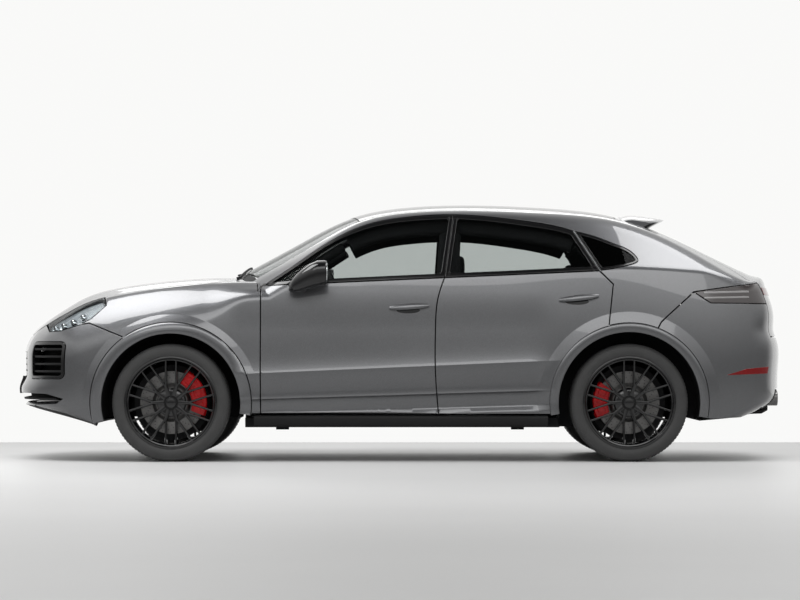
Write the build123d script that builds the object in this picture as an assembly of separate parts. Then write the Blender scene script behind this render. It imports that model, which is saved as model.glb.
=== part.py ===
from build123d import *
import os
from math import atan2, cos, degrees, hypot, radians, sin, tan

# Coupe sport utility vehicle, five doors, at real size in millimetres.
# +X is forward, +Y is the car's left, +Z is up. The origin is on the ground, midway along the car.

# Driving dimensions
WHEELBASE = 2895.0
HALF_TRACK_FRONT = 840.0
HALF_TRACK_REAR = 830.0
TYRE_RADIUS = 372.0
TYRE_WIDTH_FRONT = 285.0
TYRE_WIDTH_REAR = 315.0
RIM_RADIUS = 290.0
ARCH_RADIUS_FRONT = 436.0
ARCH_RADIUS_REAR = 446.0
FLOOR_Z = 215.0
FLOOR_THICKNESS = 60.0
DOOR_BOTTOM_Z = 296.0
WAIST_Z = 720.0

# Wall and gap sizes
SEAM = 6.0
DOOR_SKIN = 45.0
SEAL_GAP = 7.0
WALL = 95.0
ROOF_WALL = 45.0
FLANGE_WIDTH = 58.0
DOOR_BOX_INSET = 70.0
WINDOW_FRAME = 30.0
GLASS_RECESS = 8.0
GLASS_THICKNESS = 6.0
TRIM_PROUD = 12.0
LINER_GAP = 5.0
LINER_WALL = 6.0
RUNNING_CLEARANCE = 0.08

# Axle places, from which every table below measures
FRONT_X = WHEELBASE / 2
REAR_X = -WHEELBASE / 2
AXLE_Z = TYRE_RADIUS
FAR = 1300.0
HIGH = 2000.0


def front(x, z):
    """A point of a side outline, x measured forward from the front axle."""
    return (FRONT_X + x, z)


def rear(x, z):
    """A point of a side outline, x measured forward from the rear axle."""
    return (REAR_X + x, z)


# The lengthwise outline of the body and how it falls away towards the sides.
# Columns: name, point on the centre line, bulge of the edge to the next point,
# shift (x, z) at 700 mm off the centre, shift (x, z) at 1000 mm off the centre.
PROFILE = [
    ("chin", front(870, FLOOR_Z), 0, (-90, 0), (-420, 0)),
    ("lip", front(1014, 400), 6, (-95, 0), (-430, 0)),
    ("nose", front(1014, 760), 22, (-110, -20), (-450, -60)),
    ("bonnet_front", front(757, 965), 58, (-60, -25), (-300, -150)),
    ("cowl", front(-357, 1172), 12, (-140, -30), (-330, -150)),
    ("header", front(-1107, 1567), 84, (-95, -62), (-230, -170)),
    ("hinge_line", rear(47, 1580), 20, (0, -72), (0, -200)),
    ("deck", rear(-848, 1185), 0, (60, -30), (200, -120)),
    ("deck_lip", rear(-925, 1208), 0, (70, -30), (220, -120)),
    ("tail", rear(-993, 900), 0, (80, -10), (230, -40)),
    ("bumper_top", rear(-1021, 750), 4, (80, 0), (230, 0)),
    ("bumper_low", rear(-1021, 470), 0, (80, 0), (230, 0)),
    ("diffuser", rear(-853, 290), 0, (70, 0), (220, 0)),
    ("floor_rear", rear(-453, FLOOR_Z + 25), 0, (0, 0), (0, 0)),
]
PROFILE_OFF_CENTRE = 700.0
PROFILE_EDGE = 1000.0
END_X = 2000.0
LOW_Z = 500.0

# Cross sections of the body from nose to tail.
# Columns: x, half width at the sill, at the waist and at the belt, height of the belt, half width at the roof.
STATIONS = [
    (FRONT_X + 1072, 560, 640, 540, 1000, 300),
    (FRONT_X + 902, 720, 800, 720, 1010, 330),
    (FRONT_X + 702, 860, 925, 850, 1040, 380),
    (FRONT_X + 402, 915, 968, 905, 1075, 430),
    (FRONT_X, 940, 985, 925, 1100, 470),
    (FRONT_X - 548, 930, 962, 905, 1118, 520),
    (0, 930, 962, 900, 1165, 555),
    (REAR_X + 748, 930, 966, 900, 1190, 540),
    (REAR_X, 940, 985, 915, 1225, 470),
    (REAR_X - 552, 900, 950, 860, 1200, 380),
    (REAR_X - 852, 800, 870, 780, 1180, 330),
    (REAR_X - 1072, 660, 740, 640, 1150, 300),
]
SECTION_BOTTOM = 100.0
SECTION_ROOF = 1720.0
SECTION_TOP = 1800.0



def bulged(a, b, bulge):
    """A line from a to b, or an arc that stands bulge outside it."""
    if bulge == 0:
        return Line(a, b)
    span = Vector(*b) - Vector(*a)
    outward = Vector(span.Y, -span.X).normalized()
    middle = (Vector(*a) + Vector(*b)) * 0.5 + outward * bulge
    return ThreePointArc(a, (middle.X, middle.Y), b)


def placed_wire(curves, plane):
    return Wire([plane.from_local_coords(c.edges()[0]) for c in curves])


def lengthwise_loft(drop, end_inset, floor_lift):
    """The body seen from the side, lofted across its width and shrunk by the given wall."""
    wires = []
    for y in (-PROFILE_EDGE, -PROFILE_OFF_CENTRE, 0, PROFILE_OFF_CENTRE, PROFILE_EDGE):
        points = []
        for _, (x, z), _, near_shift, far_shift in PROFILE:
            shift = {0: (0, 0), PROFILE_OFF_CENTRE: near_shift, PROFILE_EDGE: far_shift}[abs(y)]
            if x > END_X:
                x -= end_inset
            if x < -END_X:
                x += end_inset
            z += floor_lift if z < LOW_Z else -drop
            points.append((x + shift[0], z + shift[1]))
        curves = [
            bulged(points[i], points[(i + 1) % len(points)], PROFILE[i][2]) for i in range(len(points))
        ]
        wires.append(placed_wire(curves, Plane(origin=(0, y, 0), x_dir=(1, 0, 0), z_dir=(0, -1, 0))))
    return Solid.make_loft(wires)


def crosswise_loft(inset):
    """The body seen from the front, lofted along its length with both sides moved in by inset."""
    wires = []
    for x, sill, waist, belt, belt_z, roof in STATIONS:
        lean = (belt - roof) / (SECTION_ROOF - belt_z)
        top = roof - inset - lean * (SECTION_TOP - SECTION_ROOF)
        sill, waist, belt = sill - inset, waist - inset, belt - inset
        curves = [
            Line((-sill, SECTION_BOTTOM), (sill, SECTION_BOTTOM)),
            ThreePointArc((sill, SECTION_BOTTOM), (waist, WAIST_Z), (belt, belt_z)),
            Line((belt, belt_z), (top, SECTION_TOP)),
            Line((top, SECTION_TOP), (-top, SECTION_TOP)),
            Line((-top, SECTION_TOP), (-belt, belt_z)),
            ThreePointArc((-belt, belt_z), (-waist, WAIST_Z), (-sill, SECTION_BOTTOM)),
        ]
        wires.append(placed_wire(curves, Plane(origin=(x, 0, 0), x_dir=(0, 1, 0), z_dir=(1, 0, 0))))
    return Solid.make_loft(wires)


def layer(depth, drop=None, end_inset=None, floor_lift=0.0):
    """The body's solid with its surface moved in by depth."""
    drop = depth if drop is None else drop
    end_inset = depth if end_inset is None else end_inset
    return lengthwise_loft(drop, end_inset, floor_lift) & crosswise_loft(depth)


def outline(points, grow=0.0):
    """A closed face through points, with every edge moved outwards by grow."""
    face = make_face(Polyline(*points, close=True))
    return offset(face, amount=grow, kind=Kind.INTERSECTION) if grow else face


def side_prism(face, y_low, y_high):
    return extrude(Plane(origin=(0, y_low, 0), x_dir=(1, 0, 0), z_dir=(0, -1, 0)) * face, amount=y_low - y_high)


def plan_prism(face, z_low, z_high):
    return extrude(Plane.XY.offset(z_low) * face, amount=z_high - z_low)


def front_prism(face, x_low, x_high):
    return extrude(Plane(origin=(x_low, 0, 0), x_dir=(0, 1, 0), z_dir=(1, 0, 0)) * face, amount=x_high - x_low)


def block(x_low, x_high, y_low, y_high, z_low, z_high):
    return Pos(x_low, y_low, z_low) * Box(
        x_high - x_low, y_high - y_low, z_high - z_low, align=(Align.MIN, Align.MIN, Align.MIN)
    )


def drum(radius, y_low, y_high, x, z):
    """A cylinder about an axle, between two distances off the centre line."""
    turned = Rot(-90, 0, 0) * Cylinder(radius, y_high - y_low, align=(Align.CENTER, Align.CENTER, Align.MIN))
    return Pos(x, y_low, z) * turned


def to_right(shape):
    return mirror(shape, about=Plane.XZ)


def both_sides(shape):
    return [shape, to_right(shape)]


# Body layers
outer = layer(0)
inner = layer(WALL, drop=ROOF_WALL, floor_lift=FLOOR_THICKNESS)
shell = outer - inner
side_walls = {depth: crosswise_loft(depth) for depth in (DOOR_SKIN, DOOR_SKIN + SEAL_GAP, WALL)}
skin = outer - side_walls[DOOR_SKIN]
upper_skin = outer - layer(ROOF_WALL)
flange = (outer & side_walls[DOOR_SKIN + SEAL_GAP]) - side_walls[WALL]
glass = layer(GLASS_RECESS) - layer(GLASS_RECESS + GLASS_THICKNESS)
trim = layer(-TRIM_PROUD, drop=-TRIM_PROUD / 2) - outer

# Seams seen from the side
DOOR_FRONT_X = FRONT_X - 565
DOOR_TOP = [
    (DOOR_FRONT_X, 1110),
    (DOOR_FRONT_X - 178, 1226),
    (DOOR_FRONT_X - 385, 1371),
    (DOOR_FRONT_X - 554, 1464),
    (156, 1525),
    (-15, 1555),
    (-345, 1575),
    (-557, 1562),
    (REAR_X + 635, 1530),
    (REAR_X + 377, 1478),
    (REAR_X + 340, 1466),
]
FRONT_DOOR_TOPS = 7
DOOR_MEET = [(-244, DOOR_BOTTOM_Z), (-222, 630), (-224, 833), (-241, 1035), (-283, 1170), DOOR_TOP[6]]
REAR_DOOR_BACK = [rear(187, 1208), rear(99, 1121), rear(129, 858)]
REAR_DOOR_ARCH = 500.0
BELT_FRONT = (DOOR_FRONT_X - 30, 1114)
BELT_BACK = rear(187, 1208)

front_door_points = [(DOOR_FRONT_X, DOOR_BOTTOM_Z), *DOOR_MEET[:-1], *reversed(DOOR_TOP[:FRONT_DOOR_TOPS])]
rear_door_points = [
    *DOOR_MEET[:-1],
    *DOOR_TOP[FRONT_DOOR_TOPS - 1 :],
    *REAR_DOOR_BACK,
    rear(129, AXLE_Z),
    rear(500, DOOR_BOTTOM_Z),
]
front_window_points = [BELT_FRONT, (-283, 1170), *reversed(DOOR_TOP[1:FRONT_DOOR_TOPS])]
rear_window_points = [(-283, 1170), *DOOR_TOP[FRONT_DOOR_TOPS - 1 :], BELT_BACK]
QUARTER_WINDOW = [
    rear(177, 1212),
    rear(-8, 1246),
    rear(-60, 1274),
    rear(-32, 1320),
    rear(70, 1376),
    rear(208, 1431),
    rear(330, 1464),
]
QUARTER_FRAME = 16.0


def door_face(points, grow, has_arch):
    """A door's outline, cut by the rear wheel's arch where the door reaches it."""
    face = outline(points, grow)
    if not has_arch:
        return face
    return face - Pos(REAR_X, AXLE_Z) * Circle(REAR_DOOR_ARCH - grow)


DOORS = {"front": (front_door_points, False), "rear": (rear_door_points, True)}
WINDOWS = {"front": front_window_points, "rear": rear_window_points}

# Seams seen from above
BONNET = [
    front(985, 0),
    front(955, 400),
    front(860, 600),
    front(450, 735),
    front(-300, 770),
    front(-470, 735),
    front(-385, 400),
    front(-347, 0),
]
WINDSCREEN = [front(-417, 0), front(-452, 400), front(-535, 690), front(-1185, 590), front(-1107, 0)]
ROOF = [front(-1107, 0), front(-1185, 590), rear(60, 520), rear(60, 0)]
TAILGATE = [rear(60, 0), rear(60, 520), rear(-640, 655), rear(-760, 740), rear(-1100, 740), rear(-1100, 0)]
TAILGATE_GLASS = [rear(-110, 0), rear(-110, 470), rear(-620, 575), rear(-735, 560), rear(-770, 0)]
TAILGATE_BOTTOM_Z = 790.0


def mirrored_outline(half, grow=0.0):
    """A face from the left half of its outline, given as (x, y) points from the centre line round to it."""
    right = [(x, -y) for x, y in reversed(half) if y > 0]
    return outline([*half, *right], grow)


half_seam = SEAM / 2
bonnet_zone = plan_prism(mirrored_outline(BONNET, half_seam), 700, HIGH)
windscreen_zone = plan_prism(mirrored_outline(WINDSCREEN), 900, HIGH)
roof_zone = plan_prism(mirrored_outline(ROOF), 1300, HIGH)
tailgate_zone = plan_prism(mirrored_outline(TAILGATE, half_seam), TAILGATE_BOTTOM_Z - half_seam, HIGH)
COWL = [front(-353, 0), front(-391, 400), front(-476, 735), front(-535, 690), front(-452, 400), front(-417, 0)]
COWL_RECESS = 25.0
COWL_THICKNESS = 30.0
cowl_zone = plan_prism(mirrored_outline(COWL), 900, HIGH)
BONNET_REAR = BONNET[-3:]
cowl_seam = plan_prism(mirrored_outline([*reversed(BONNET_REAR), *reversed(COWL[:3])]), 900, HIGH)

# Lamps and bumpers seen from the side
HEADLAMP = [
    front(850, 822),
    front(708, 828),
    front(590, 864),
    front(510, 905),
    front(415, 985),
    front(425, 1100),
    front(900, 1000),
]
HEADLAMP_INNER_Y = 500.0
LAMP_DEPTH = 70.0
TAIL_LAMP = [rear(-412, 1073), rear(-520, 1003), rear(-1100, 1000), rear(-1100, 1118), rear(-850, 1135)]
TAIL_LAMP_INNER_Y = 700.0
FRONT_BUMPER = [
    front(1200, 100),
    front(1200, 1100),
    front(850, 1000),
    front(850, 822),
    front(708, 828),
    front(590, 864),
    front(523, 877),
    front(208, 750),
    front(208, 100),
]
REAR_BUMPER = [
    rear(-1200, 100),
    rear(-1200, 1000),
    rear(-520, 1003),
    rear(-412, 1073),
    rear(-203, 884),
    rear(-173, 830),
    rear(-173, 100),
]
FENDER = [
    (DOOR_FRONT_X + SEAM / 2, FLOOR_Z - 10),
    (DOOR_FRONT_X + SEAM / 2, 1300),
    front(700, 1300),
    front(523, 877),
    front(208, 750),
    front(0, 600),
    front(-300, FLOOR_Z - 10),
]

# Wheel arches and their liners
LINER_OUTER_Y = 925.0
LINER_INNER_FRONT_Y = 480.0
LINER_INNER_REAR_Y = 640.0
LINER_HOLE = 90.0
ARCHES = [
    (FRONT_X, ARCH_RADIUS_FRONT, LINER_INNER_FRONT_Y),
    (REAR_X, ARCH_RADIUS_REAR, LINER_INNER_REAR_Y),
]


def arch_cut(x, radius, inner_y):
    """The hole of a wheel arch: the opening in the outer skin, and room for the liner behind it."""
    liner_room = radius + 2 * LINER_GAP + LINER_WALL
    opening = drum(radius, inner_y, FAR, x, AXLE_Z)
    return opening + drum(liner_room, inner_y, LINER_OUTER_Y + LINER_GAP, x, AXLE_Z)


def arch_liner(x, radius, inner_y):
    """A cup round the top of the wheel, with a hole in its inner wall for the arm and the shaft."""
    inside = radius + LINER_GAP
    cup = drum(inside + LINER_WALL, inner_y, LINER_OUTER_Y, x, AXLE_Z)
    cup = cup - drum(inside, inner_y + LINER_WALL, FAR, x, AXLE_Z)
    hole = block(x - LINER_HOLE, x + LINER_HOLE, inner_y - 20, inner_y + 20, 0, AXLE_Z + LINER_HOLE)
    return cup - [hole, block(x - FAR, x + FAR, 0, FAR, -FAR, FLOOR_Z + FLOOR_THICKNESS)]


front_arch, rear_arch = [arch_cut(*row) for row in ARCHES]
headlamp_zone = side_prism(outline(HEADLAMP), HEADLAMP_INNER_Y, FAR)
tail_lamp_zone = side_prism(outline(TAIL_LAMP), TAIL_LAMP_INNER_Y, FAR)

nodes = {}


def add_pair(name, shape):
    """A piece on the left and its mirror image on the right, as two nodes."""
    nodes[f"{name}_l"] = shape
    nodes[f"{name}_r"] = to_right(shape)


def add_both(name, shape):
    """A piece and its mirror image as one node."""
    nodes[name] = Compound([*shape.solids(), *to_right(shape).solids()])


# Hinges, each with three knuckles in a row
KNUCKLE_LENGTH = 20.0
KNUCKLE_GAP = 0.3
LEAF_THICKNESS = 2.4
DOOR_HINGE_Y = 967.0
DOOR_HINGE_Z = 640.0
DOOR_HINGE_X = {"front": DOOR_FRONT_X, "rear": -222.4}
DOOR_KNUCKLE = 2.4
BONNET_HINGE = (FRONT_X - 475, 1128.0)
BONNET_HINGE_Y = 660.0
BONNET_KNUCKLE = 5.0
TAILGATE_HINGE = (REAR_X + 60, 1581.5)
TAILGATE_HINGE_YS = (40.0, -100.0)
FIXED_SPANS = ((0, KNUCKLE_LENGTH), (2 * KNUCKLE_LENGTH, 3 * KNUCKLE_LENGTH))
MOVING_SPAN = (KNUCKLE_LENGTH + KNUCKLE_GAP, 2 * KNUCKLE_LENGTH - KNUCKLE_GAP)


def knuckle_hinge(start, direction, radius):
    """Two fixed knuckles with the pin, the knuckle that turns between them, and the pin's bore."""
    line = Plane(origin=start, z_dir=direction)

    def rod(rod_radius, low, high):
        return line * Pos(0, 0, low) * Cylinder(rod_radius, high - low, align=(Align.CENTER, Align.CENTER, Align.MIN))

    pin_radius = radius / 2
    fixed = [rod(radius, *span) for span in FIXED_SPANS] + [rod(pin_radius, 0, 3 * KNUCKLE_LENGTH)]
    return fixed, rod(radius, *MOVING_SPAN), rod(pin_radius + RUNNING_CLEARANCE, 0, 3 * KNUCKLE_LENGTH)


def door_hinge(x):
    """Fixed leaves that reach in to the pillar, and the leaf on the door's edge."""
    fixed, moving, bore = knuckle_hinge((x, DOOR_HINGE_Y, DOOR_HINGE_Z), (0, 0, 1), DOOR_KNUCKLE)
    for low, high in FIXED_SPANS:
        half = LEAF_THICKNESS / 2
        z = DOOR_HINGE_Z
        fixed.append(block(x - half, x + half, DOOR_HINGE_Y - 70, DOOR_HINGE_Y, z + low, z + high))
    low, high = MOVING_SPAN
    leaf = block(x - 8, x, DOOR_HINGE_Y - 8, DOOR_HINGE_Y - 1, DOOR_HINGE_Z + low, DOOR_HINGE_Z + high)
    return fixed, moving + leaf, bore


# Doors: an outer skin with its window and handle, and a thick box behind it below the belt
HANDLE_LENGTH = 245.0
HANDLE_HEIGHT = 34.0
HANDLES = {"front": (-58, 982), "rear": (REAR_X + 317, 1032)}
UNDER_BELT = [(-FAR * 2, 0), (FAR * 2, 0), (FAR * 2, 1112), (BELT_FRONT[0], 1100), (-283, 1150), (-FAR * 2, 1190)]
for place, (points, has_arch) in DOORS.items():
    window = side_prism(outline(WINDOWS[place], -WINDOW_FRAME), 300, FAR)
    box_face = door_face(points, -DOOR_BOX_INSET, has_arch) & outline(UNDER_BELT)
    door = skin & side_prism(door_face(points, -half_seam, has_arch), 300, FAR)
    x, z = HANDLES[place]
    bar = block(x - HANDLE_LENGTH / 2, x + HANDLE_LENGTH / 2, 300, FAR, z - HANDLE_HEIGHT / 2, z + HANDLE_HEIGHT / 2)
    _, moving, bore = door_hinge(DOOR_HINGE_X[place])
    door = (door + [shell & side_prism(box_face, 300, FAR), trim & bar, moving]) - bore
    add_pair(f"door_{place}", door - window)
    add_pair(f"door_glass_{place}", glass & window)

# Mirrors on the front doors
MIRROR = [
    (DOOR_FRONT_X - 424, 1268),
    (DOOR_FRONT_X - 424, 1120),
    (DOOR_FRONT_X - 322, 1092),
    (DOOR_FRONT_X - 242, 1066),
    (DOOR_FRONT_X - 192, 1072),
    (DOOR_FRONT_X - 178, 1110),
    (DOOR_FRONT_X - 200, 1160),
    (DOOR_FRONT_X - 270, 1216),
    (DOOR_FRONT_X - 350, 1264),
]
MIRROR_Y = 1025.0
MIRROR_HALF_WIDTH = 70.0
MIRROR_TAPER = 20.0
MIRROR_ARM = (-255.0, -185.0, 870.0, 1010.0, 1080.0, 1120.0)
mirror_face = Pos(0, MIRROR_Y, 0) * (Rot(90, 0, 0) * outline(MIRROR))
mirror_housing = extrude(mirror_face, amount=MIRROR_HALF_WIDTH, both=True, taper=MIRROR_TAPER)
x_low, x_high, *arm_box = MIRROR_ARM
mirror_arm = block(DOOR_FRONT_X + x_low, DOOR_FRONT_X + x_high, *arm_box)
add_pair("mirror", (mirror_housing + mirror_arm) - outer)

# Front end: fenders, bonnet, cowl, lamps and bumper with its intakes
fender = upper_skin & side_prism(outline(FENDER), 300, FAR)
add_pair("fender", fender - [bonnet_zone, windscreen_zone, cowl_zone, cowl_seam, headlamp_zone, front_arch])
bonnet = upper_skin & plan_prism(mirrored_outline(BONNET, -half_seam), 700, HIGH)
cowl = (layer(COWL_RECESS) - layer(COWL_RECESS + COWL_THICKNESS)) & cowl_zone
x, z = BONNET_HINGE
for start in (BONNET_HINGE_Y, -BONNET_HINGE_Y - 3 * KNUCKLE_LENGTH):
    fixed, moving, bore = knuckle_hinge((x, start, z), (0, 1, 0), BONNET_KNUCKLE)
    lugs = [block(x - 4, x + 4, start + low, start + high, z - 35, z) for low, high in FIXED_SPANS]
    leaf = block(x, x + 45, start + MOVING_SPAN[0], start + MOVING_SPAN[1], z - 5, z + 2)
    cowl = cowl + [*fixed, *lugs]
    bonnet = (bonnet + [moving, leaf]) - bore
nodes["cowl"] = cowl
nodes["bonnet"] = bonnet

headlamp = (outer - layer(LAMP_DEPTH)) & headlamp_zone
add_both("headlamps", headlamp - bonnet_zone)

# Columns: low x, low y, high y, low z, high z, number of slats
INTAKES = [
    (FRONT_X + 560, -430, 430, 470, 700, 5),
    (FRONT_X + 680, 540, FAR, 522, 757, 4),
    (FRONT_X + 680, -FAR, -540, 522, 757, 4),
    (FRONT_X + 560, -620, 620, 357, 427, 1),
]
INTAKE_FRONT_X = FRONT_X + 1200
SLAT_THICKNESS = 14.0
SLAT_RECESS = 16.0
SLAT_DEPTH = 40.0
TOW_RADIUS = 10.0
TOW_PLACE = (-405.0, 486.0)
RAIL_FRONT_X = FRONT_X + 850
intake_holes = []
slats = []
slat_layer = layer(SLAT_RECESS) - layer(SLAT_RECESS + SLAT_DEPTH)
for x_low, y_low, y_high, z_low, z_high, count in INTAKES:
    intake_holes.append(block(x_low, INTAKE_FRONT_X, y_low, y_high, z_low, z_high))
    pitch = (z_high - z_low) / (count + 1)
    for i in range(count):
        z = z_low + pitch * (i + 1)
        slats.append(block(x_low, INTAKE_FRONT_X, y_low, y_high, z - SLAT_THICKNESS / 2, z + SLAT_THICKNESS / 2))
CHIN = [front(520, FLOOR_Z + 5), front(1020, 352), front(1200, 352), front(1200, 100), front(520, 100)]
front_bumper = shell & side_prism(outline(FRONT_BUMPER), -FAR, FAR)
nodes["front_bumper"] = front_bumper - [
    bonnet_zone, *both_sides(headlamp_zone), *both_sides(front_arch), *intake_holes,
    side_prism(outline(CHIN), -FAR, FAR),
]
nodes["intake_grilles"] = Compound([solid for slat in slats for solid in (slat_layer & slat).solids()])

# Body side: sill, pillars, roof rail and rear quarter, with a flange behind the doors' edges
POST_WIDTH = 80.0
sill_inside = side_walls[WALL] & block(-FAR * 2, FAR * 2, -FAR, FAR, 0, FLOOR_Z + FLOOR_THICKNESS + 40)
body_side = shell & block(REAR_X - 1100, DOOR_FRONT_X + 100, 300, FAR, 0, HIGH)
body_side = body_side - [
    *[side_prism(door_face(points, half_seam, arch), 300, FAR) for points, arch in DOORS.values()],
    side_prism(outline(FENDER), 300, FAR),
    side_prism(outline(REAR_BUMPER), 300, FAR),
    side_prism(outline(QUARTER_WINDOW), 300, FAR),
    bonnet_zone,
    windscreen_zone,
    cowl_zone,
    cowl_seam,
    roof_zone,
    tailgate_zone,
    tail_lamp_zone,
    rear_arch,
    front_arch,
    sill_inside,
]
for points, arch in DOORS.values():
    ring = door_face(points, half_seam, arch) - door_face(points, -FLANGE_WIDTH, arch)
    body_side = body_side + ((flange & side_prism(ring, 300, FAR)) - [roof_zone, windscreen_zone, sill_inside])
hinge_post = (side_walls[DOOR_SKIN] - side_walls[WALL]) & block(
    DOOR_FRONT_X + half_seam, DOOR_FRONT_X + half_seam + POST_WIDTH, 300, FAR, FLOOR_Z, 1040
)
leaves = [piece for x in DOOR_HINGE_X.values() for piece in door_hinge(x)[0]]
add_pair("body_side", body_side + [hinge_post - [sill_inside, front_arch], *leaves])
add_both("quarter_glass", glass & side_prism(outline(QUARTER_WINDOW), 300, FAR))

# Roof, windscreen and tailgate
nodes["windscreen"] = glass & windscreen_zone
roof_panel = (upper_skin & roof_zone) - tailgate_zone

tailgate_glass_zone = plan_prism(mirrored_outline(TAILGATE_GLASS), 1100, HIGH)
light_bar_zone = block(REAR_X - 1200, REAR_X - 800, -690, 690, 1035, 1080)
tailgate = shell & plan_prism(mirrored_outline(TAILGATE, -half_seam), TAILGATE_BOTTOM_Z + half_seam, HIGH)
tailgate = tailgate - [tailgate_glass_zone, (outer - layer(25)) & light_bar_zone]
x, z = TAILGATE_HINGE
for start in TAILGATE_HINGE_YS:
    fixed, moving, bore = knuckle_hinge((x, start, z), (0, 1, 0), DOOR_KNUCKLE)
    lugs = [block(x, x + 10, start + low, start + high, z - 9, z - 1) for low, high in FIXED_SPANS]
    leaf = block(x - 10, x, start + MOVING_SPAN[0], start + MOVING_SPAN[1], z - 9, z - 1)
    roof_panel = roof_panel + [*fixed, *lugs]
    tailgate = (tailgate + [moving, leaf]) - bore
nodes["roof_panel"] = roof_panel
nodes["tailgate"] = tailgate
nodes["tailgate_glass"] = glass & tailgate_glass_zone
nodes["light_bar"] = (outer - layer(25)) & light_bar_zone

SPOILER = [rear(20, 1500), rear(10, 1585), rear(-93, 1594), rear(-290, 1562), rear(-272, 1548), rear(-130, 1460)]
spoiler_face = [rear(0, 0), rear(0, 470), rear(-250, 500), rear(-300, 440), rear(-300, 0)]
spoiler = side_prism(outline(SPOILER), -520, 520) & plan_prism(mirrored_outline(spoiler_face), 1300, HIGH)
nodes["spoiler"] = spoiler - outer

# Rear end
EXHAUST_TIPS = [(430, 395), (540, 395)]
TIP_RADIUS = 48.0
TIP_WALL = 5.0
MUFFLER_FRONT_X = REAR_X - 480
TIP_END_X = REAR_X - 985


def along_x(radius, x_low, x_high, y, z):
    rod = Rot(0, 90, 0) * Cylinder(radius, x_high - x_low, align=(Align.CENTER, Align.CENTER, Align.MIN))
    return Pos(x_low, y, z) * rod


tips = [along_x(TIP_RADIUS, TIP_END_X, REAR_X - 700, y, z) for y, z in EXHAUST_TIPS]
tip_bores = [along_x(TIP_RADIUS - TIP_WALL, TIP_END_X - 10, TIP_END_X + 160, y, z) for y, z in EXHAUST_TIPS]
muffler = block(REAR_X - 760, MUFFLER_FRONT_X, 360, 610, 340, 480)
add_both("exhaust", (tips[0] + tips[1] + muffler) - tip_bores)

rear_bumper = shell & side_prism(outline(REAR_BUMPER), -FAR, FAR)
nodes["rear_bumper"] = rear_bumper - [
    tailgate_zone,
    *both_sides(tail_lamp_zone),
    *both_sides(rear_arch),
    *[tool for tip in tips for tool in both_sides(tip)],
    *both_sides(muffler),
]
tail_lamp = (outer - layer(LAMP_DEPTH)) & tail_lamp_zone
add_both("tail_lamps", tail_lamp - tailgate_zone)

# Trims and liners
TRIM_RINGS = [(FRONT_X, ARCH_RADIUS_FRONT, 72.0), (REAR_X, ARCH_RADIUS_REAR, 50.0)]
rings = [
    Pos(x, AXLE_Z) * (Circle(radius + width) - Circle(radius)) for x, radius, width in TRIM_RINGS
]
above_sill = block(-FAR * 3, FAR * 3, 300, FAR, FLOOR_Z + 75, HIGH)
arch_trim = [(trim & side_prism(ring, 300, FAR)) & above_sill for ring in rings]
front_trim_end = block(-FAR, DOOR_FRONT_X + SEAM, 0, FAR, 0, HIGH)
add_both("arch_trims", (arch_trim[0] - front_trim_end) + arch_trim[1])
skirt = block(REAR_X + ARCH_RADIUS_REAR + 10, FRONT_X - ARCH_RADIUS_FRONT - 10, 300, FAR, FLOOR_Z, FLOOR_Z + 70)
add_both("side_skirts", trim & skirt)
add_both("wheel_liners", arch_liner(*ARCHES[0]) + arch_liner(*ARCHES[1]))

# Floor, bulkhead, boot floor and front rails
floor_top = FLOOR_Z + FLOOR_THICKNESS
BULKHEAD_X = DOOR_FRONT_X + 70
BULKHEAD_THICKNESS = 30.0
FLOOR_GAP = 0.3
BOOT_FLOOR_Z = 600.0
BOOT_FRONT_X = REAR_X + 270
RAIL = (380.0, LINER_INNER_FRONT_Y, 405.0, 525.0)
PAD_SIZE = 80.0
PAD_HEIGHT = 15.0
PADS = [(FRONT_X - 700, 790.0), (REAR_X + 700, 790.0)]
inside = crosswise_loft(WALL + FLOOR_GAP)
plate = inside & block(BOOT_FRONT_X - 40, BULKHEAD_X + BULKHEAD_THICKNESS, -FAR, FAR, FLOOR_Z, floor_top)
bulkhead = inside & block(BULKHEAD_X, BULKHEAD_X + BULKHEAD_THICKNESS, -800, 800, floor_top - 5, 1040)
boot = block(REAR_X - 700, BOOT_FRONT_X, -LINER_INNER_REAR_Y, LINER_INNER_REAR_Y, BOOT_FLOOR_Z - 40, BOOT_FLOOR_Z)
riser = block(BOOT_FRONT_X - 40, BOOT_FRONT_X, -LINER_INNER_REAR_Y, LINER_INNER_REAR_Y, floor_top - 5, BOOT_FLOOR_Z)
floor_pan = plate + [bulkhead, boot, riser]
for sign in (1, -1):
    y_low, y_high = sorted((sign * RAIL[0], sign * RAIL[1]))
    floor_pan = floor_pan + block(BULKHEAD_X, RAIL_FRONT_X, y_low, y_high, RAIL[2], RAIL[3])
    for x, y in PADS:
        floor_pan = floor_pan + Pos(x, sign * y, FLOOR_Z - PAD_HEIGHT / 2) * Box(PAD_SIZE, PAD_SIZE, PAD_HEIGHT)
TOW_DEPTH = 80.0
tow_bore = along_x(TOW_RADIUS, RAIL_FRONT_X - TOW_DEPTH, RAIL_FRONT_X + 5, *TOW_PLACE)
nodes["floor_pan"] = floor_pan - [*both_sides(front_arch), *both_sides(rear_arch), tow_bore]

# Cabin
DASHBOARD = [
    (BULKHEAD_X, 820),
    (BULKHEAD_X, 1060),
    (BULKHEAD_X - 150, 1105),
    (BULKHEAD_X - 330, 1085),
    (BULKHEAD_X - 410, 1010),
    (BULKHEAD_X - 390, 880),
    (BULKHEAD_X - 250, 790),
]
dashboard = inside & side_prism(outline(DASHBOARD), -740, 740)
nodes["dashboard"] = dashboard

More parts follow.
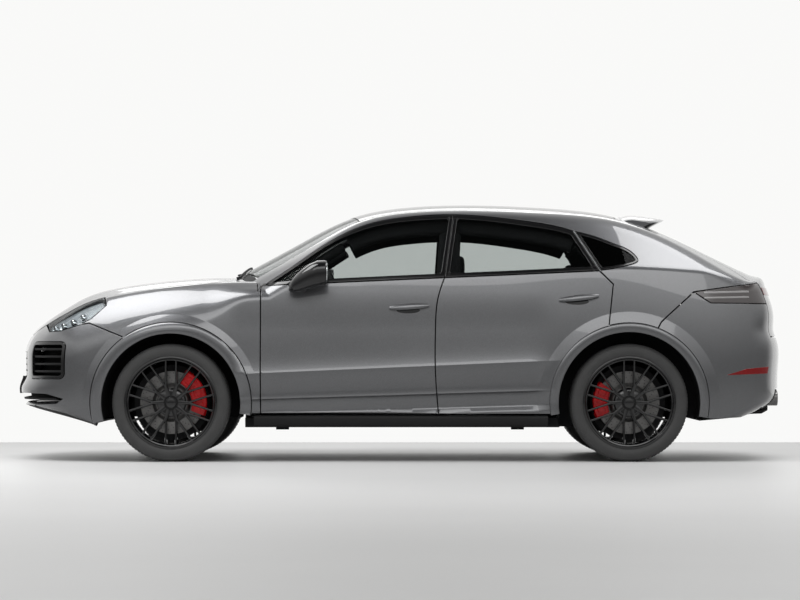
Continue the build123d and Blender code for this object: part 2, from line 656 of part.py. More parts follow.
WHEEL_CENTRE = (BULKHEAD_X - 560, 370.0, 1055.0)
WHEEL_RADIUS = 180.0
WHEEL_GRIP = 16.0
COLUMN_TILT = 25.0
wheel_place = Pos(*WHEEL_CENTRE) * Rot(0, 90 + COLUMN_TILT, 0)
grip = wheel_place * Torus(WHEEL_RADIUS, WHEEL_GRIP)
column = wheel_place * Cylinder(34, 260, align=(Align.CENTER, Align.CENTER, Align.MIN))
boss = wheel_place * Cylinder(70, 44)
spokes = [wheel_place * (Rot(0, 0, a) * Pos(WHEEL_RADIUS / 2, 0, 0) * Box(WHEEL_RADIUS, 34, 20)) for a in (-90, 90, 0)]
nodes["steering_wheel"] = (grip + [boss, column, *spokes]) - dashboard

SEAT = [
    (260, floor_top),
    (285, 440),
    (265, 520),
    (-200, 490),
    (-330, 1150),
    (-340, 1320),
    (-425, 1320),
    (-430, 1150),
    (-300, 480),
    (-290, floor_top),
]
SEAT_HALF_WIDTH = 250.0
HEADREST_HALF_WIDTH = 125.0
SEAT_Y = 370.0


def shoulders(points, z):
    """The outline with everything above z left out."""
    return outline(points) & Pos(0, z - HIGH / 2) * Rectangle(FAR * 4, HIGH)


seat = side_prism(shoulders(SEAT, 1150), SEAT_Y - SEAT_HALF_WIDTH, SEAT_Y + SEAT_HALF_WIDTH)
seat = seat + side_prism(outline(SEAT), SEAT_Y - HEADREST_HALF_WIDTH, SEAT_Y + HEADREST_HALF_WIDTH)
add_both("front_seats", seat)

BENCH = [
    (REAR_X + 890, floor_top),
    (REAR_X + 905, 470),
    (REAR_X + 885, 545),
    (REAR_X + 545, 505),
    (REAR_X + 395, 1110),
    (REAR_X + 380, 1270),
    (REAR_X + 300, 1270),
    (REAR_X + 290, 1110),
    (REAR_X + 437, 490),
    (REAR_X + 437, floor_top),
]
bench = side_prism(shoulders(BENCH, 1110), -600, 600)
for y in (-350, 350):
    bench = bench + side_prism(outline(BENCH), y - HEADREST_HALF_WIDTH, y + HEADREST_HALF_WIDTH)
nodes["rear_bench"] = bench

# Engine and axles
nodes["engine"] = block(FRONT_X - 150, FRONT_X + 520, -330, 330, 350, 880)

SPINDLE_RADIUS = 35.0
UPRIGHT_INNER = -105.0
UPRIGHT_OUTER = -45.0
KINGPIN_Y = HALF_TRACK_FRONT - 40.0
HUB_FACE = 66.0
DISC_RADIUS = 200.0
DISC_FACES = (-8.0, 26.0)
DISC_HAT_RADIUS = 95.0
CALIPER_RADII = (125.0, 228.0)
CALIPER_FACES = (-45.0, 60.0)
CALIPER_GAP = 6.0
FRONT_CALIPER_ANGLE = 158.0
FRONT_CALIPER_SPAN = 86.0
REAR_CALIPER_ANGLE = 5.0
REAR_CALIPER_SPAN = 62.0
ARM_HALF_WIDTH = 24.0
UPRIGHT_BOTTOM = AXLE_Z - 145.0
SEAT_GAP = 0.3
ARM_Z = (200.0, UPRIGHT_BOTTOM - SEAT_GAP)
KINGPIN_RADIUS = 15.0
KINGPIN_HEIGHT = 45.0
SHAFT_RADIUS = 22.0


def turned(shape, angle, x, y):
    """A piece drawn about the Y axis pointing along +X, turned up by angle and moved to a wheel's centre."""
    return Pos(x, y, AXLE_Z) * (Rot(0, -angle, 0) * shape)


def upright(x, y, caliper_angle):
    """The wheel carrier: a post, the spindle and an ear for the caliper."""
    post = block(x - 45, x + 45, y + UPRIGHT_INNER, y + UPRIGHT_OUTER, UPRIGHT_BOTTOM, AXLE_Z + 150)
    spindle = drum(SPINDLE_RADIUS, y + UPRIGHT_INNER, y + HUB_FACE - 10, x, AXLE_Z)
    ear = turned(block(0, 185, UPRIGHT_OUTER - 32, UPRIGHT_OUTER, -45, 45), caliper_angle, x, y)
    return post + [spindle, ear]


def caliper(x, y, angle, span):
    """A block over the disc's edge, slotted for the disc."""
    reach = 2 * CALIPER_RADII[1]
    half = radians(span / 2)
    sector = Polyline((0, 0), (reach, -reach * tan(half)), (reach, reach * tan(half)), close=True)
    body = drum(CALIPER_RADII[1], *CALIPER_FACES, 0, 0) - drum(CALIPER_RADII[0], -FAR, FAR, 0, 0)
    body = body & side_prism(make_face(sector), *CALIPER_FACES)
    slot = drum(DISC_RADIUS + CALIPER_GAP, DISC_FACES[0] - CALIPER_GAP, DISC_FACES[1] + CALIPER_GAP, 0, 0)
    return turned(body - slot, angle, x, y)


def upright_pin(radius, height):
    """The lower steering pin, standing on the front arm."""
    pin = Cylinder(radius, height, align=(Align.CENTER, Align.CENTER, Align.MIN))
    return Pos(FRONT_X, KINGPIN_Y, ARM_Z[1]) * pin


pin_hole = upright_pin(KINGPIN_RADIUS + RUNNING_CLEARANCE, KINGPIN_HEIGHT + SEAT_GAP)
add_pair("knuckle", upright(FRONT_X, HALF_TRACK_FRONT, FRONT_CALIPER_ANGLE) - pin_hole)
add_pair("caliper_front", caliper(FRONT_X, HALF_TRACK_FRONT, FRONT_CALIPER_ANGLE, FRONT_CALIPER_SPAN))
add_both("calipers_rear", caliper(REAR_X, HALF_TRACK_REAR, REAR_CALIPER_ANGLE, REAR_CALIPER_SPAN))

beam = block(FRONT_X - 120, FRONT_X + 200, -RAIL[0], RAIL[0], 250, 350)
arm = block(FRONT_X - ARM_HALF_WIDTH, FRONT_X + ARM_HALF_WIDTH, 300, KINGPIN_Y, *ARM_Z)
eye = Cylinder(ARM_HALF_WIDTH, ARM_Z[1] - ARM_Z[0], align=(Align.CENTER, Align.CENTER, Align.MIN))
arm = arm + [
    Pos(FRONT_X, KINGPIN_Y, ARM_Z[0]) * eye,
    block(FRONT_X - 90, FRONT_X + 90, 300, 370, ARM_Z[0], 260),
    block(FRONT_X + 100, FRONT_X + 200, 335, RAIL[0], 340, RAIL[3]),
    upright_pin(KINGPIN_RADIUS, KINGPIN_HEIGHT),
]
shaft = drum(SHAFT_RADIUS, 330, HALF_TRACK_FRONT + UPRIGHT_INNER - 24, FRONT_X, AXLE_Z)
axle_parts = [piece for shape in (arm, shaft) for piece in both_sides(shape)]
front_axle = beam + axle_parts
nodes["front_axle"] = Compound(front_axle.solids())

rear_beam = block(REAR_X - 130, REAR_X + 130, -450, 450, 290, 480)
rear_arm = block(REAR_X - ARM_HALF_WIDTH, REAR_X + ARM_HALF_WIDTH, 440, HALF_TRACK_REAR - 60, 240, 300)
rear_shaft = drum(SHAFT_RADIUS, 440, HALF_TRACK_REAR + UPRIGHT_INNER + 5, REAR_X, AXLE_Z)
rear_side = upright(REAR_X, HALF_TRACK_REAR, REAR_CALIPER_ANGLE) + [rear_arm, rear_shaft]
riser_post = block(REAR_X - 130, REAR_X + 130, -450, 450, 470, BOOT_FLOOR_Z - 40)
nodes["rear_axle"] = rear_beam + [rear_side, to_right(rear_side), riser_post]

# Wheels
FORKS = 10
SPOKE_WIDTH = 11.0
STEM_WIDTH = 22.0
FORK_RADIUS = 110.0
FORK_SPREAD = 11.0
SPOKE_FACES = (80.0, 114.0)
HUB_RADIUS = 90.0
BARREL_RADII = (266.0, 286.0)


def wheel_tyre(half_width):
    """The tyre as one turned ring, drawn about the Y axis."""
    half = [
        (0, TYRE_RADIUS),
        (half_width * 0.55, TYRE_RADIUS),
        (half_width * 0.84, TYRE_RADIUS - 5),
        (half_width * 0.97, TYRE_RADIUS - 24),
        (half_width, TYRE_RADIUS - 50),
        (half_width * 0.95, RIM_RADIUS + 10),
        (half_width * 0.88, RIM_RADIUS + 2),
        (half_width * 0.88, BARREL_RADII[1]),
        (0, BARREL_RADII[1]),
    ]
    points = [(r, y) for y, r in half] + [(r, -y) for y, r in reversed(half) if y > 0]
    return revolve(make_face(Polyline(*points, close=True)), axis=Axis.Y)


def wheel_rim(half_width):
    """Barrel, flanges, hub and paired spokes, drawn about the Y axis with the outer side at +Y."""
    seat_half = half_width * 0.88
    rim = drum(BARREL_RADII[1], -seat_half, seat_half, 0, 0)
    for y_low, y_high in ((-seat_half - 8, -seat_half), (seat_half, seat_half + 8)):
        rim = rim + drum(RIM_RADIUS, y_low, y_high, 0, 0)
    rim = rim - drum(BARREL_RADII[0], -FAR, FAR, 0, 0)
    end_x = BARREL_RADII[1] * cos(radians(FORK_SPREAD)) - FORK_RADIUS
    end_z = BARREL_RADII[1] * sin(radians(FORK_SPREAD))
    lean = degrees(atan2(end_z, end_x))
    leg = block(-SPOKE_WIDTH / 2, hypot(end_x, end_z) - 10, *SPOKE_FACES, -SPOKE_WIDTH / 2, SPOKE_WIDTH / 2)
    stem = block(HUB_RADIUS - 20, FORK_RADIUS + SPOKE_WIDTH, *SPOKE_FACES, -STEM_WIDTH / 2, STEM_WIDTH / 2)
    fork = stem + [Pos(FORK_RADIUS, 0, 0) * (Rot(0, side * lean, 0) * leg) for side in (-1, 1)]
    hub = drum(HUB_RADIUS, HUB_FACE, SPOKE_FACES[1], 0, 0) - drum(SPINDLE_RADIUS + 5, 0, SPOKE_FACES[0], 0, 0)
    forks = [Rot(0, 360 / FORKS * (i + 0.5), 0) * fork for i in range(FORKS)]
    return rim + [hub, *forks]


def wheel_disc():
    """Brake disc with its hat, bored to turn on the spindle."""
    disc = drum(DISC_RADIUS, *DISC_FACES, 0, 0) + drum(DISC_HAT_RADIUS, DISC_FACES[0], HUB_FACE, 0, 0)
    return disc - drum(SPINDLE_RADIUS + RUNNING_CLEARANCE, -FAR, FAR, 0, 0)


AXLES = {
    "front": (FRONT_X, HALF_TRACK_FRONT, TYRE_WIDTH_FRONT),
    "rear": (REAR_X, HALF_TRACK_REAR, TYRE_WIDTH_REAR),
}
for place, (x, half_track, width) in AXLES.items():
    spot = Pos(x, half_track, AXLE_Z)
    add_pair(f"tyre_{place}", spot * wheel_tyre(width / 2))
    add_pair(f"rim_{place}", spot * wheel_rim(width / 2))
    add_pair(f"disc_{place}", spot * wheel_disc())

os.makedirs("parts", exist_ok=True)
for name, shape in nodes.items():
    export_step(shape, f"parts/{name}.step")
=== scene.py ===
import math

import bpy
import numpy as np
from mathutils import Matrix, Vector
from mathutils.geometry import delaunay_2d_cdt


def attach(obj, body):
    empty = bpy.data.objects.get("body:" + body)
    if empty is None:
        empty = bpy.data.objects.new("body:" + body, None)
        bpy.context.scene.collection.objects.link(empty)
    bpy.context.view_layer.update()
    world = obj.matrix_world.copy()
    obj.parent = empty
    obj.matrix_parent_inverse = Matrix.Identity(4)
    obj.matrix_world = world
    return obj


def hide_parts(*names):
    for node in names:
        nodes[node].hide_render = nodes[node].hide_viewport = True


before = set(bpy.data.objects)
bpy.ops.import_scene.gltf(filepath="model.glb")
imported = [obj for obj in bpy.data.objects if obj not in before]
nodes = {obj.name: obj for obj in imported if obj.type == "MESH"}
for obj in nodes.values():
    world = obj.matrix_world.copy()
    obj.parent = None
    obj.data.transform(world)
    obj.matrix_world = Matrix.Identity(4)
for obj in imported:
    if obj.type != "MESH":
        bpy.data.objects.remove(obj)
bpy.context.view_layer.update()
collection = bpy.context.scene.collection

# Body surface
# All painted panels and windows are pieces of one pressed skin. Its half width is drawn by stations along the car,
# its top by the outline on the middle plane that falls away to the sides, and its ends by the nose and the tail.
FRONT_X = 1.4475
REAR_X = -1.4475
AXLE_Z = 0.372
COWL_X = 1.0905
LIP_X = -2.27


def spline(xs, ys):
    """A smooth function through points, with the same bend on both sides of each."""
    xs, ys = np.array(xs, float), np.array(ys, float)
    order = np.argsort(xs)
    xs, ys = xs[order], ys[order]
    gap = np.diff(xs)
    count = len(xs)
    system, right = np.eye(count), np.zeros(count)
    for k in range(1, count - 1):
        system[k, k - 1:k + 2] = gap[k - 1], 2 * (gap[k - 1] + gap[k]), gap[k]
        right[k] = 6 * ((ys[k + 1] - ys[k]) / gap[k] - (ys[k] - ys[k - 1]) / gap[k - 1])
    bend = np.linalg.solve(system, right)

    def at(x):
        x = np.clip(x, xs[0], xs[-1])
        k = np.clip(np.searchsorted(xs, x) - 1, 0, count - 2)
        b = (x - xs[k]) / gap[k]
        a = 1 - b
        return a * ys[k] + b * ys[k + 1] + ((a**3 - a) * bend[k] + (b**3 - b) * bend[k + 1]) * gap[k]**2 / 6
    return at


def step(x):
    """Rises smoothly from 0 to 1 while x goes from 0 to 1."""
    x = np.clip(x, 0, 1)
    return x * x * (3 - 2 * x)


def soft_least(a, b, radius):
    """The lesser of two values, with the corner between them rounded."""
    near = np.maximum(radius - np.abs(a - b), 0) / radius
    return np.minimum(a, b) - near * near * radius / 4


STATIONS = np.array([
    # x, half width at 0.10, half width at 0.72, half width at the belt, height of the belt, half width at 1.72
    (2.5195, 0.560, 0.640, 0.540, 1.000, 0.300),
    (2.3495, 0.720, 0.800, 0.720, 1.010, 0.330),
    (2.1495, 0.860, 0.925, 0.850, 1.040, 0.380),
    (1.8495, 0.915, 0.968, 0.905, 1.075, 0.430),
    (1.4475, 0.940, 0.985, 0.925, 1.100, 0.470),
    (0.8995, 0.930, 0.962, 0.905, 1.118, 0.520),
    (0.0, 0.930, 0.962, 0.900, 1.165, 0.555),
    (-0.6995, 0.930, 0.966, 0.900, 1.190, 0.540),
    (-1.4475, 0.940, 0.985, 0.915, 1.225, 0.470),
    (-1.9995, 0.900, 0.950, 0.860, 1.200, 0.380),
    (-2.2995, 0.800, 0.870, 0.780, 1.180, 0.330),
    (-2.5195, 0.660, 0.740, 0.640, 1.150, 0.300),
])
width_lines = [spline(STATIONS[:, 0], STATIONS[:, column]) for column in range(1, 6)]
bonnet_line = spline((1.0, COWL_X, FRONT_X, 1.80, 2.06, 2.2045, 2.364, 2.464, 2.56),
                     (1.168, 1.172, 1.154, 1.106, 1.035, 0.965, 0.868, 0.768, 0.640))
cabin_line = spline((1.20, COWL_X, 0.70, 0.3405, -0.015, -0.404, -0.936, -1.4, -1.708, -2.091, -2.30, -2.5),
                    (1.108, 1.172, 1.386, 1.566, 1.640, 1.658, 1.640, 1.580, 1.471, 1.283, 1.184, 1.090))
lip_line = spline((LIP_X, -2.30, -2.34, -2.372, -2.42), (0, 0.004, 0.024, 0.046, 0.074))
nose_line = spline((0.15, 0.215, 0.28, 0.325, 0.345, 0.37, 0.42, 0.58, 0.76, 0.90, 1.10),
                   (1.667, 1.927, 2.187, 2.360, 2.420, 2.449, 2.4615, 2.468, 2.4615, 2.43, 2.38))
tail_line = spline((0.20, 0.297, 0.359, 0.474, 0.608, 0.735, 0.775, 0.825, 0.892, 0.998, 1.105, 1.208, 1.32),
                   (-2.12, -2.322, -2.425, -2.466, -2.471, -2.470, -2.459, -2.441, -2.441, -2.428, -2.389, -2.367,
                    -2.345))
SWEEP_X = (2.4615, 2.2045, COWL_X, 0.3405, -1.4, -2.2955, -2.4)
sweep_lines = [spline(SWEEP_X, values) for values in (
    (-0.110, -0.060, -0.140, -0.095, 0.0, 0.060, 0.070), (-0.450, -0.300, -0.330, -0.230, 0.0, 0.200, 0.220),
    (-0.020, -0.025, -0.030, -0.062, -0.072, -0.030, -0.030), (-0.060, -0.150, -0.150, -0.170, -0.200, -0.120, -0.120),
)]


def falling(at_700, at_1000, y):
    """An even curve across the car: 0 in the middle and the two values 0.7 and 1.0 m out."""
    quartic = (at_1000 * 0.49 - at_700) / 0.2499
    return (at_1000 - quartic) * y * y + quartic * y**4


NOSE_PULL = 0.040


def nose_pull(y):
    """How far the nose is drawn back between the middle and the corners, which makes it more pointed in plan."""
    return -NOSE_PULL * step(y / 0.45) * step((1.0 - y) / 0.4)


def arch_radius(x, z):
    """Distance from the nearer axle, seen from the side."""
    return np.where(x > 0, np.hypot(x - FRONT_X, z - AXLE_Z), np.hypot(x - REAR_X, z - AXLE_Z))


def crease_height(x):
    """The pressed line low on the doors, which rises to the rear."""
    return 0.555 + (0.960 - x) * 0.0428


def sill_height(x):
    """The second pressed line, over the sill, which rises to the rear too."""
    return 0.396 + (0.879 - x) * 0.0304


def blade_height(x):
    """The top of the blade along the door's foot."""
    return 0.318 + (0.8 - x) * 0.030


# Heights that the stations are given at, and how far the pressed lines stand out or the doors settle in
SILL_Z, WAIST_Z, ROOF_Z = 0.10, 0.72, 1.72
CREASE_OUT, SILL_OUT, BLADE_OUT, FLARE_OUT, DOOR_SETTLE = 0.017, 0.006, 0.024, 0.011, 0.010
FRONT_FLARE, REAR_FLARE = 0.560, 0.575


def half_width(x, z):
    """How far the body's side is from the middle plane."""
    sill, waist, belt, belt_z, roof = (line(x) for line in width_lines)
    low = (sill * (z - WAIST_Z) * (z - belt_z) / ((WAIST_Z - SILL_Z) * (belt_z - SILL_Z)) -
           waist * (z - SILL_Z) * (z - belt_z) / ((WAIST_Z - SILL_Z) * (belt_z - WAIST_Z)) +
           belt * (z - SILL_Z) * (z - WAIST_Z) / ((belt_z - SILL_Z) * (belt_z - WAIST_Z)))
    lean = belt + (roof - belt) * (z - belt_z) / (ROOF_Z - belt_z)
    width = soft_least(low, lean, 0.012)
    between = step((x + 1.05) / 0.25) * step((1.12 - x) / 0.12)
    above = z - crease_height(x)
    ridge = CREASE_OUT * np.where(above > 0, np.exp(-above / 0.055), 2 * np.exp(above / 0.05) - 1)
    ridge = ridge - DOOR_SETTLE * step((1.08 - z) / 0.25)
    above = z - sill_height(x)
    rocker = SILL_OUT * np.where(above > 0, np.exp(-above / 0.022), 5 * np.exp(above / 0.018) - 4)
    rocker = rocker + BLADE_OUT * step((blade_height(x) - z) / 0.055)
    width = width + between * (ridge + rocker)
    radius = arch_radius(x, z)
    band = np.where(x > 0, (FRONT_FLARE - radius) / 0.05, (REAR_FLARE - radius) / 0.06)
    return width + FLARE_OUT * np.clip(band, 0, 1.3)


def top_height(x, y):
    """How high the body's top is."""
    across = np.abs(y)
    pull = nose_pull(across) * step((x - 1.9) / 0.4)
    middle = x - falling(sweep_lines[0](x), sweep_lines[1](x), across) - pull
    middle = x - falling(sweep_lines[0](middle), sweep_lines[1](middle), across) - pull
    drop = falling(sweep_lines[2](middle), sweep_lines[3](middle), across)
    bonnet = bonnet_line(middle) + 0.016 * np.exp(-((across - 0.79) / 0.055)**2) * step((2.35 - x) / 0.3)
    cabin = cabin_line(middle) + np.where(middle < LIP_X, lip_line(middle), 0)
    return np.where(middle > COWL_X, bonnet, cabin) + drop


# How far the ends are swept 0.7 and 1.0 m from the middle
NOSE_SWEEP, TAIL_SWEEP = (-0.100, -0.440), (0.075, 0.225)


def depth_inside(points):
    """Positive inside the body, zero on its skin."""
    x, y, z = points[..., 0], np.abs(points[..., 1]), points[..., 2]
    side = half_width(x, z) - y
    top = top_height(x, y) - z
    nose = nose_line(z) + falling(*NOSE_SWEEP, y) * (0.08 + 0.92 * step((z - 0.20) / 0.16)) - x
    nose = nose + nose_pull(y) * step((z - 0.45) / 0.1)
    tail = x - tail_line(z) - falling(*TAIL_SWEEP, y)
    ends = soft_least(nose, tail, 0.02)
    wing = step((x - 0.95) / 0.3) * step((2.45 - x) / 0.3)
    return soft_least(soft_least(side, top, 0.05 + 0.09 * wing), ends, 0.07)


def outward(points):
    """Unit normals of the skin at points on it."""
    reach = 0.0008
    slope = np.stack([depth_inside(points - axis) - depth_inside(points + axis)
                      for axis in np.eye(3) * reach], axis=-1)
    return slope / np.linalg.norm(slope, axis=-1, keepdims=True)


def cast(origin, direction, reach=2.2):
    """Where rays from inside the body come out through its skin."""
    low, high = np.zeros(len(origin)), np.full(len(origin), reach)
    for _ in range(24):
        middle = (low + high) / 2
        inside = depth_inside(origin + direction * middle[:, None]) > 0
        low, high = np.where(inside, middle, low), np.where(inside, high, middle)
    return origin + direction * low[:, None]


# The round views: where the barrel, the two ends and the hoop have their middle, and the radius they unroll at
BARREL_Y, BARREL_Z, BARREL_RADIUS = 0.3, 0.8, 0.62
END_X, END_RADIUS = 1.4, 0.95
HOOP_X, HOOP_Z, HOOP_RADIUS = -1.35, 0.75, 0.85
PLAN_Z = 0.6


def rays(view, u, v):
    """Rays for one way to lay the skin out flat. The flat sheet's units are metres, or nearly so."""
    zero, one = np.zeros_like(u), np.ones_like(u)
    if view == "side":
        return np.stack([u, zero, v], -1), np.stack([zero, one, zero], -1)
    if view == "plan":
        return np.stack([u, v, zero + PLAN_Z], -1), np.stack([zero, zero, one], -1)
    if view == "front":
        return np.stack([zero + END_X, u, v], -1), np.stack([one, zero, zero], -1)
    if view == "rear":
        return np.stack([zero - END_X, u, v], -1), np.stack([-one, zero, zero], -1)
    if view == "barrel":
        turn = v / BARREL_RADIUS
        return np.stack([u, zero + BARREL_Y, zero + BARREL_Z], -1), np.stack([zero, np.cos(turn), np.sin(turn)], -1)
    if view in ("nose", "stern"):
        turn, way = u / END_RADIUS, 1 if view == "nose" else -1
        return np.stack([zero + way * END_X, zero, v], -1), np.stack([way * np.cos(turn), np.sin(turn), zero], -1)
    turn = u / HOOP_RADIUS
    return np.stack([zero + HOOP_X, v, zero + HOOP_Z], -1), np.stack([-np.sin(turn), zero, np.cos(turn)], -1)


def flat(view, points):
    """Where points of the skin lie on the flat sheet."""
    x, y, z = points[:, 0], points[:, 1], points[:, 2]
    if view == "plan":
        return np.stack([x, y], -1)
    if view == "barrel":
        return np.stack([x, np.arctan2(z - BARREL_Z, y - BARREL_Y) * BARREL_RADIUS], -1)
    if view in ("nose", "stern"):
        along = x - END_X if view == "nose" else -END_X - x
        return np.stack([np.arctan2(y, along) * END_RADIUS, z], -1)
    return np.stack([np.arctan2(HOOP_X - x, z - HOOP_Z) * HOOP_RADIUS, y], -1)


def divided(points, spacing):
    """Points along a line of straight runs, no further apart than spacing."""
    points = np.array(points, float)
    out = [points[:1]]
    for a, b in zip(points[:-1], points[1:]):
        count = max(1, math.ceil(np.linalg.norm(b - a) / spacing))
        out.append(a + (b - a) * (np.arange(1, count + 1) / count)[:, None])
    return np.concatenate(out)


def curved(points, spacing=0.012):
    """Points along a smooth line through points."""
    points = np.array(points, float)
    along = np.concatenate([[0], np.cumsum(np.linalg.norm(np.diff(points, axis=0), axis=1))])
    lines = [spline(along, points[:, axis]) for axis in range(points.shape[1])]
    where = np.linspace(0, along[-1], max(2, math.ceil(along[-1] / spacing)))
    return np.stack([line(where) for line in lines], -1)


def round_wheel(x, radius, start, stop):
    """Points on a circle about an axle, seen from the side, in degrees from forward towards up."""
    turn = np.radians(np.linspace(start, stop, max(3, math.ceil(abs(stop - start) / 1.5))))
    return np.stack([x + radius * np.cos(turn), AXLE_Z + radius * np.sin(turn)], -1)


def trace(view, points, spacing=0.012):
    """A line drawn in one view and thrown onto the skin."""
    points = divided(points, spacing)
    return cast(*rays(view, points[:, 0], points[:, 1]))


def outline(*runs):
    """A line on the skin made of several runs, each a view and the points drawn in it."""
    return np.concatenate([trace(view, points) for view, points in runs])


def mirrored(half):
    """A whole outline from its left half, which starts and ends on the middle plane."""
    return np.concatenate([half, (half * (1, -1, 1))[::-1][1:-1]])


def inside_loops(points, loops):
    """Whether flat points lie inside an outline and outside its holes."""
    inside = np.zeros(len(points), bool)
    for loop in loops:
        a, b = loop, np.roll(loop, -1, axis=0)
        for (ax, ay), (bx, by) in zip(a, b):
            if ay != by:
                over = (ay > points[:, 1]) != (by > points[:, 1])
                inside ^= over & (points[:, 0] < (bx - ax) * (points[:, 1] - ay) / (by - ay) + ax)
    return inside


def shrunk(loop, amount):
    """A closed flat outline moved inwards, or a hole's outline moved outwards when amount is negative."""
    loop = loop[np.linalg.norm(loop - np.roll(loop, 1, axis=0), axis=1) > 1e-5]
    area = np.sum(loop[:, 0] * np.roll(loop[:, 1], -1) - loop[:, 1] * np.roll(loop[:, 0], -1))
    run = np.roll(loop, -1, axis=0) - loop
    run /= np.linalg.norm(run, axis=1, keepdims=True)
    turned = np.stack([-run[:, 1], run[:, 0]], -1) * np.sign(area)
    both = turned + np.roll(turned, 1, axis=0)
    both /= np.maximum(np.sum(both * turned, axis=1, keepdims=True), 0.5)
    return loop + both * amount


def new_piece(name, points, faces, normals=None, smooth=True):
    """A mesh object from arrays, with its own normals where they are given."""
    mesh = bpy.data.meshes.new(name)
    mesh.from_pydata(np.asarray(points).tolist(), [], [list(map(int, face)) for face in faces])
    mesh.validate()
    mesh.polygons.foreach_set("use_smooth", [smooth] * len(mesh.polygons))
    if normals is not None:
        mesh.normals_split_custom_set_from_vertices(np.asarray(normals).tolist())
    piece = bpy.data.objects.new(name, mesh)
    collection.objects.link(piece)
    return piece


def finish_piece(piece, body, slot, material, replaced=None):
    """Gives a piece its material and its body, and hides the CAD node that it stands for. The slot is not used."""
    piece.data.materials.clear()
    piece.data.materials.append(material)
    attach(piece, body)
    if replaced:
        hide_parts(replaced)
    return piece


def flat_mesh(view, inner, grid, lines):
    """Triangles over a flat outline with holes, with extra points along the pressed lines."""
    low, high = inner[0].min(0), inner[0].max(0)
    across, up = np.meshgrid(np.arange(low[0], high[0], grid), np.arange(low[1], high[1], grid))
    across[1::2] += grid / 2
    field = np.stack([across.ravel(), up.ravel()], -1)
    if len(lines):
        extra = flat(view, np.concatenate(lines))
        far = np.ones(len(field), bool)
        for point in extra[::2]:
            far &= np.abs(field - point).sum(1) > grid * 0.5
        field = np.concatenate([field[far], extra])
    shy = [shrunk(loop, grid * (-0.45 if number else 0.45)) for number, loop in enumerate(inner)]
    field = field[inside_loops(field, shy)]
    edges, start = [], 0
    for loop in inner:
        count = len(loop)
        edges += [(start + k, start + (k + 1) % count) for k in range(count)]
        start += count
    sheet = [Vector(point) for point in np.concatenate([*inner, field])]
    placed, _, triangles, *_ = delaunay_2d_cdt(sheet, edges, [], 0, 1e-7)
    placed, triangles = np.array(placed), np.array(triangles)
    return placed, triangles[inside_loops(placed[triangles].mean(1), inner)]


def border_rings(triangles, count):
    """The rings of points along the open edges of triangles, one after another."""
    sides = np.concatenate([triangles[:, [0, 1]], triangles[:, [1, 2]], triangles[:, [2, 0]]])
    outer = sides[~np.isin(sides[:, 0] * count + sides[:, 1], sides[:, 1] * count + sides[:, 0])]
    follow = {}
    for here, there in outer.tolist():
        follow.setdefault(here, []).append(there)
    while any(follow.values()):
        first = next(here for here, onward in follow.items() if onward)
        border, after = [first], follow[first].pop()
        while after != first:
            border.append(after)
            after = follow[after].pop()
        if len(border) > 2:
            yield np.array(border)


def pressed(view, loops, gap=0.003, depth=0.02, grid=0.014, sunk=0.0, edge=0.0025, lines=()):
    """Points, faces and normals of one panel: a piece of the skin with rounded edges, side walls and a back."""
    inner = [shrunk(flat(view, loop), (gap + edge) * (-1 if number else 1)) for number, loop in enumerate(loops)]
    placed, triangles = flat_mesh(view, inner, grid, lines)
    skin = cast(*rays(view, placed[:, 0], placed[:, 1]))
    normals = outward(skin)
    skin = skin - normals * sunk
    corners = skin[triangles]
    facing = np.cross(corners[:, 1] - corners[:, 0], corners[:, 2] - corners[:, 0])
    backward = np.sum(facing * normals[triangles].mean(1), axis=1) < 0
    triangles[backward] = triangles[backward][:, ::-1]
    count = len(skin)
    points, bends, faces = [skin, skin - normals * depth], [normals, -normals], [triangles, triangles[:, ::-1] + count]
    base = 2 * count
    turns = [(turn, edge * math.sin(turn), edge * (1 - math.cos(turn))) for turn in map(math.radians, (30, 60, 90))]
    for border in border_rings(triangles, count):
        run = np.roll(skin[border], -1, axis=0) - np.roll(skin[border], 1, axis=0)
        away = np.cross(run, normals[border])
        away /= np.maximum(np.linalg.norm(away, axis=1, keepdims=True), 1e-9)
        last, size = border, len(border)
        for turn, out, down in turns + [(math.pi / 2, edge, depth)]:
            points.append(skin[border] + away * out - normals[border] * down)
            bends.append(normals[border] * math.cos(turn) + away * math.sin(turn))
            index = base + np.arange(size)
            faces.append(np.stack([last, index, np.roll(index, -1), np.roll(last, -1)], -1))
            last, base = index, base + size
        faces.append(np.stack([last, border + count, np.roll(border, -1) + count, np.roll(last, -1)], -1))
    return np.concatenate(points), [face for group in faces for face in group.tolist()], np.concatenate(bends)


def panel_pair(name, node, body, slot, material, view, loops, **options):
    """A left-hand panel and its mirror image, each in place of its CAD node."""
    points, faces, normals = pressed(view, loops, **options)
    for side, sign in (("l", 1), ("r", -1)):
        flip = np.array((1, sign, 1))
        turned = faces if sign > 0 else [face[::-1] for face in faces]
        piece = new_piece(f"{name}_{side}", points * flip, turned, normals * flip)
        finish_piece(piece, body.format(side), slot, material, node and node.format(side))


def panel_whole(name, node, body, slot, material, view, loops, **options):
    """A panel that crosses the middle plane."""
    piece = new_piece(name, *pressed(view, loops, **options))
    return finish_piece(piece, body, slot, material, node)


def joined(shapes):
    """Several shapes of points and faces as one."""
    points, faces, start = [], [], 0
    for shape in shapes:
        points.append(np.asarray(shape[0]))
        faces += [[index + start for index in face] for face in shape[1]]
        start += len(shape[0])
    return np.concatenate(points), faces


def mirror_shape(shape):
    """The mirror image of a shape across the car's middle plane."""
    return np.asarray(shape[0]) * (1, -1, 1), [list(face)[::-1] for face in shape[1]]


def moved(shape, by):
    """A shape shifted by a vector."""
    return np.asarray(shape[0]) + by, shape[1]


def both_sides(shapes):
    """Left-hand shapes and their mirror images as one shape."""
    return joined([*shapes, *(mirror_shape(shape) for shape in shapes)])


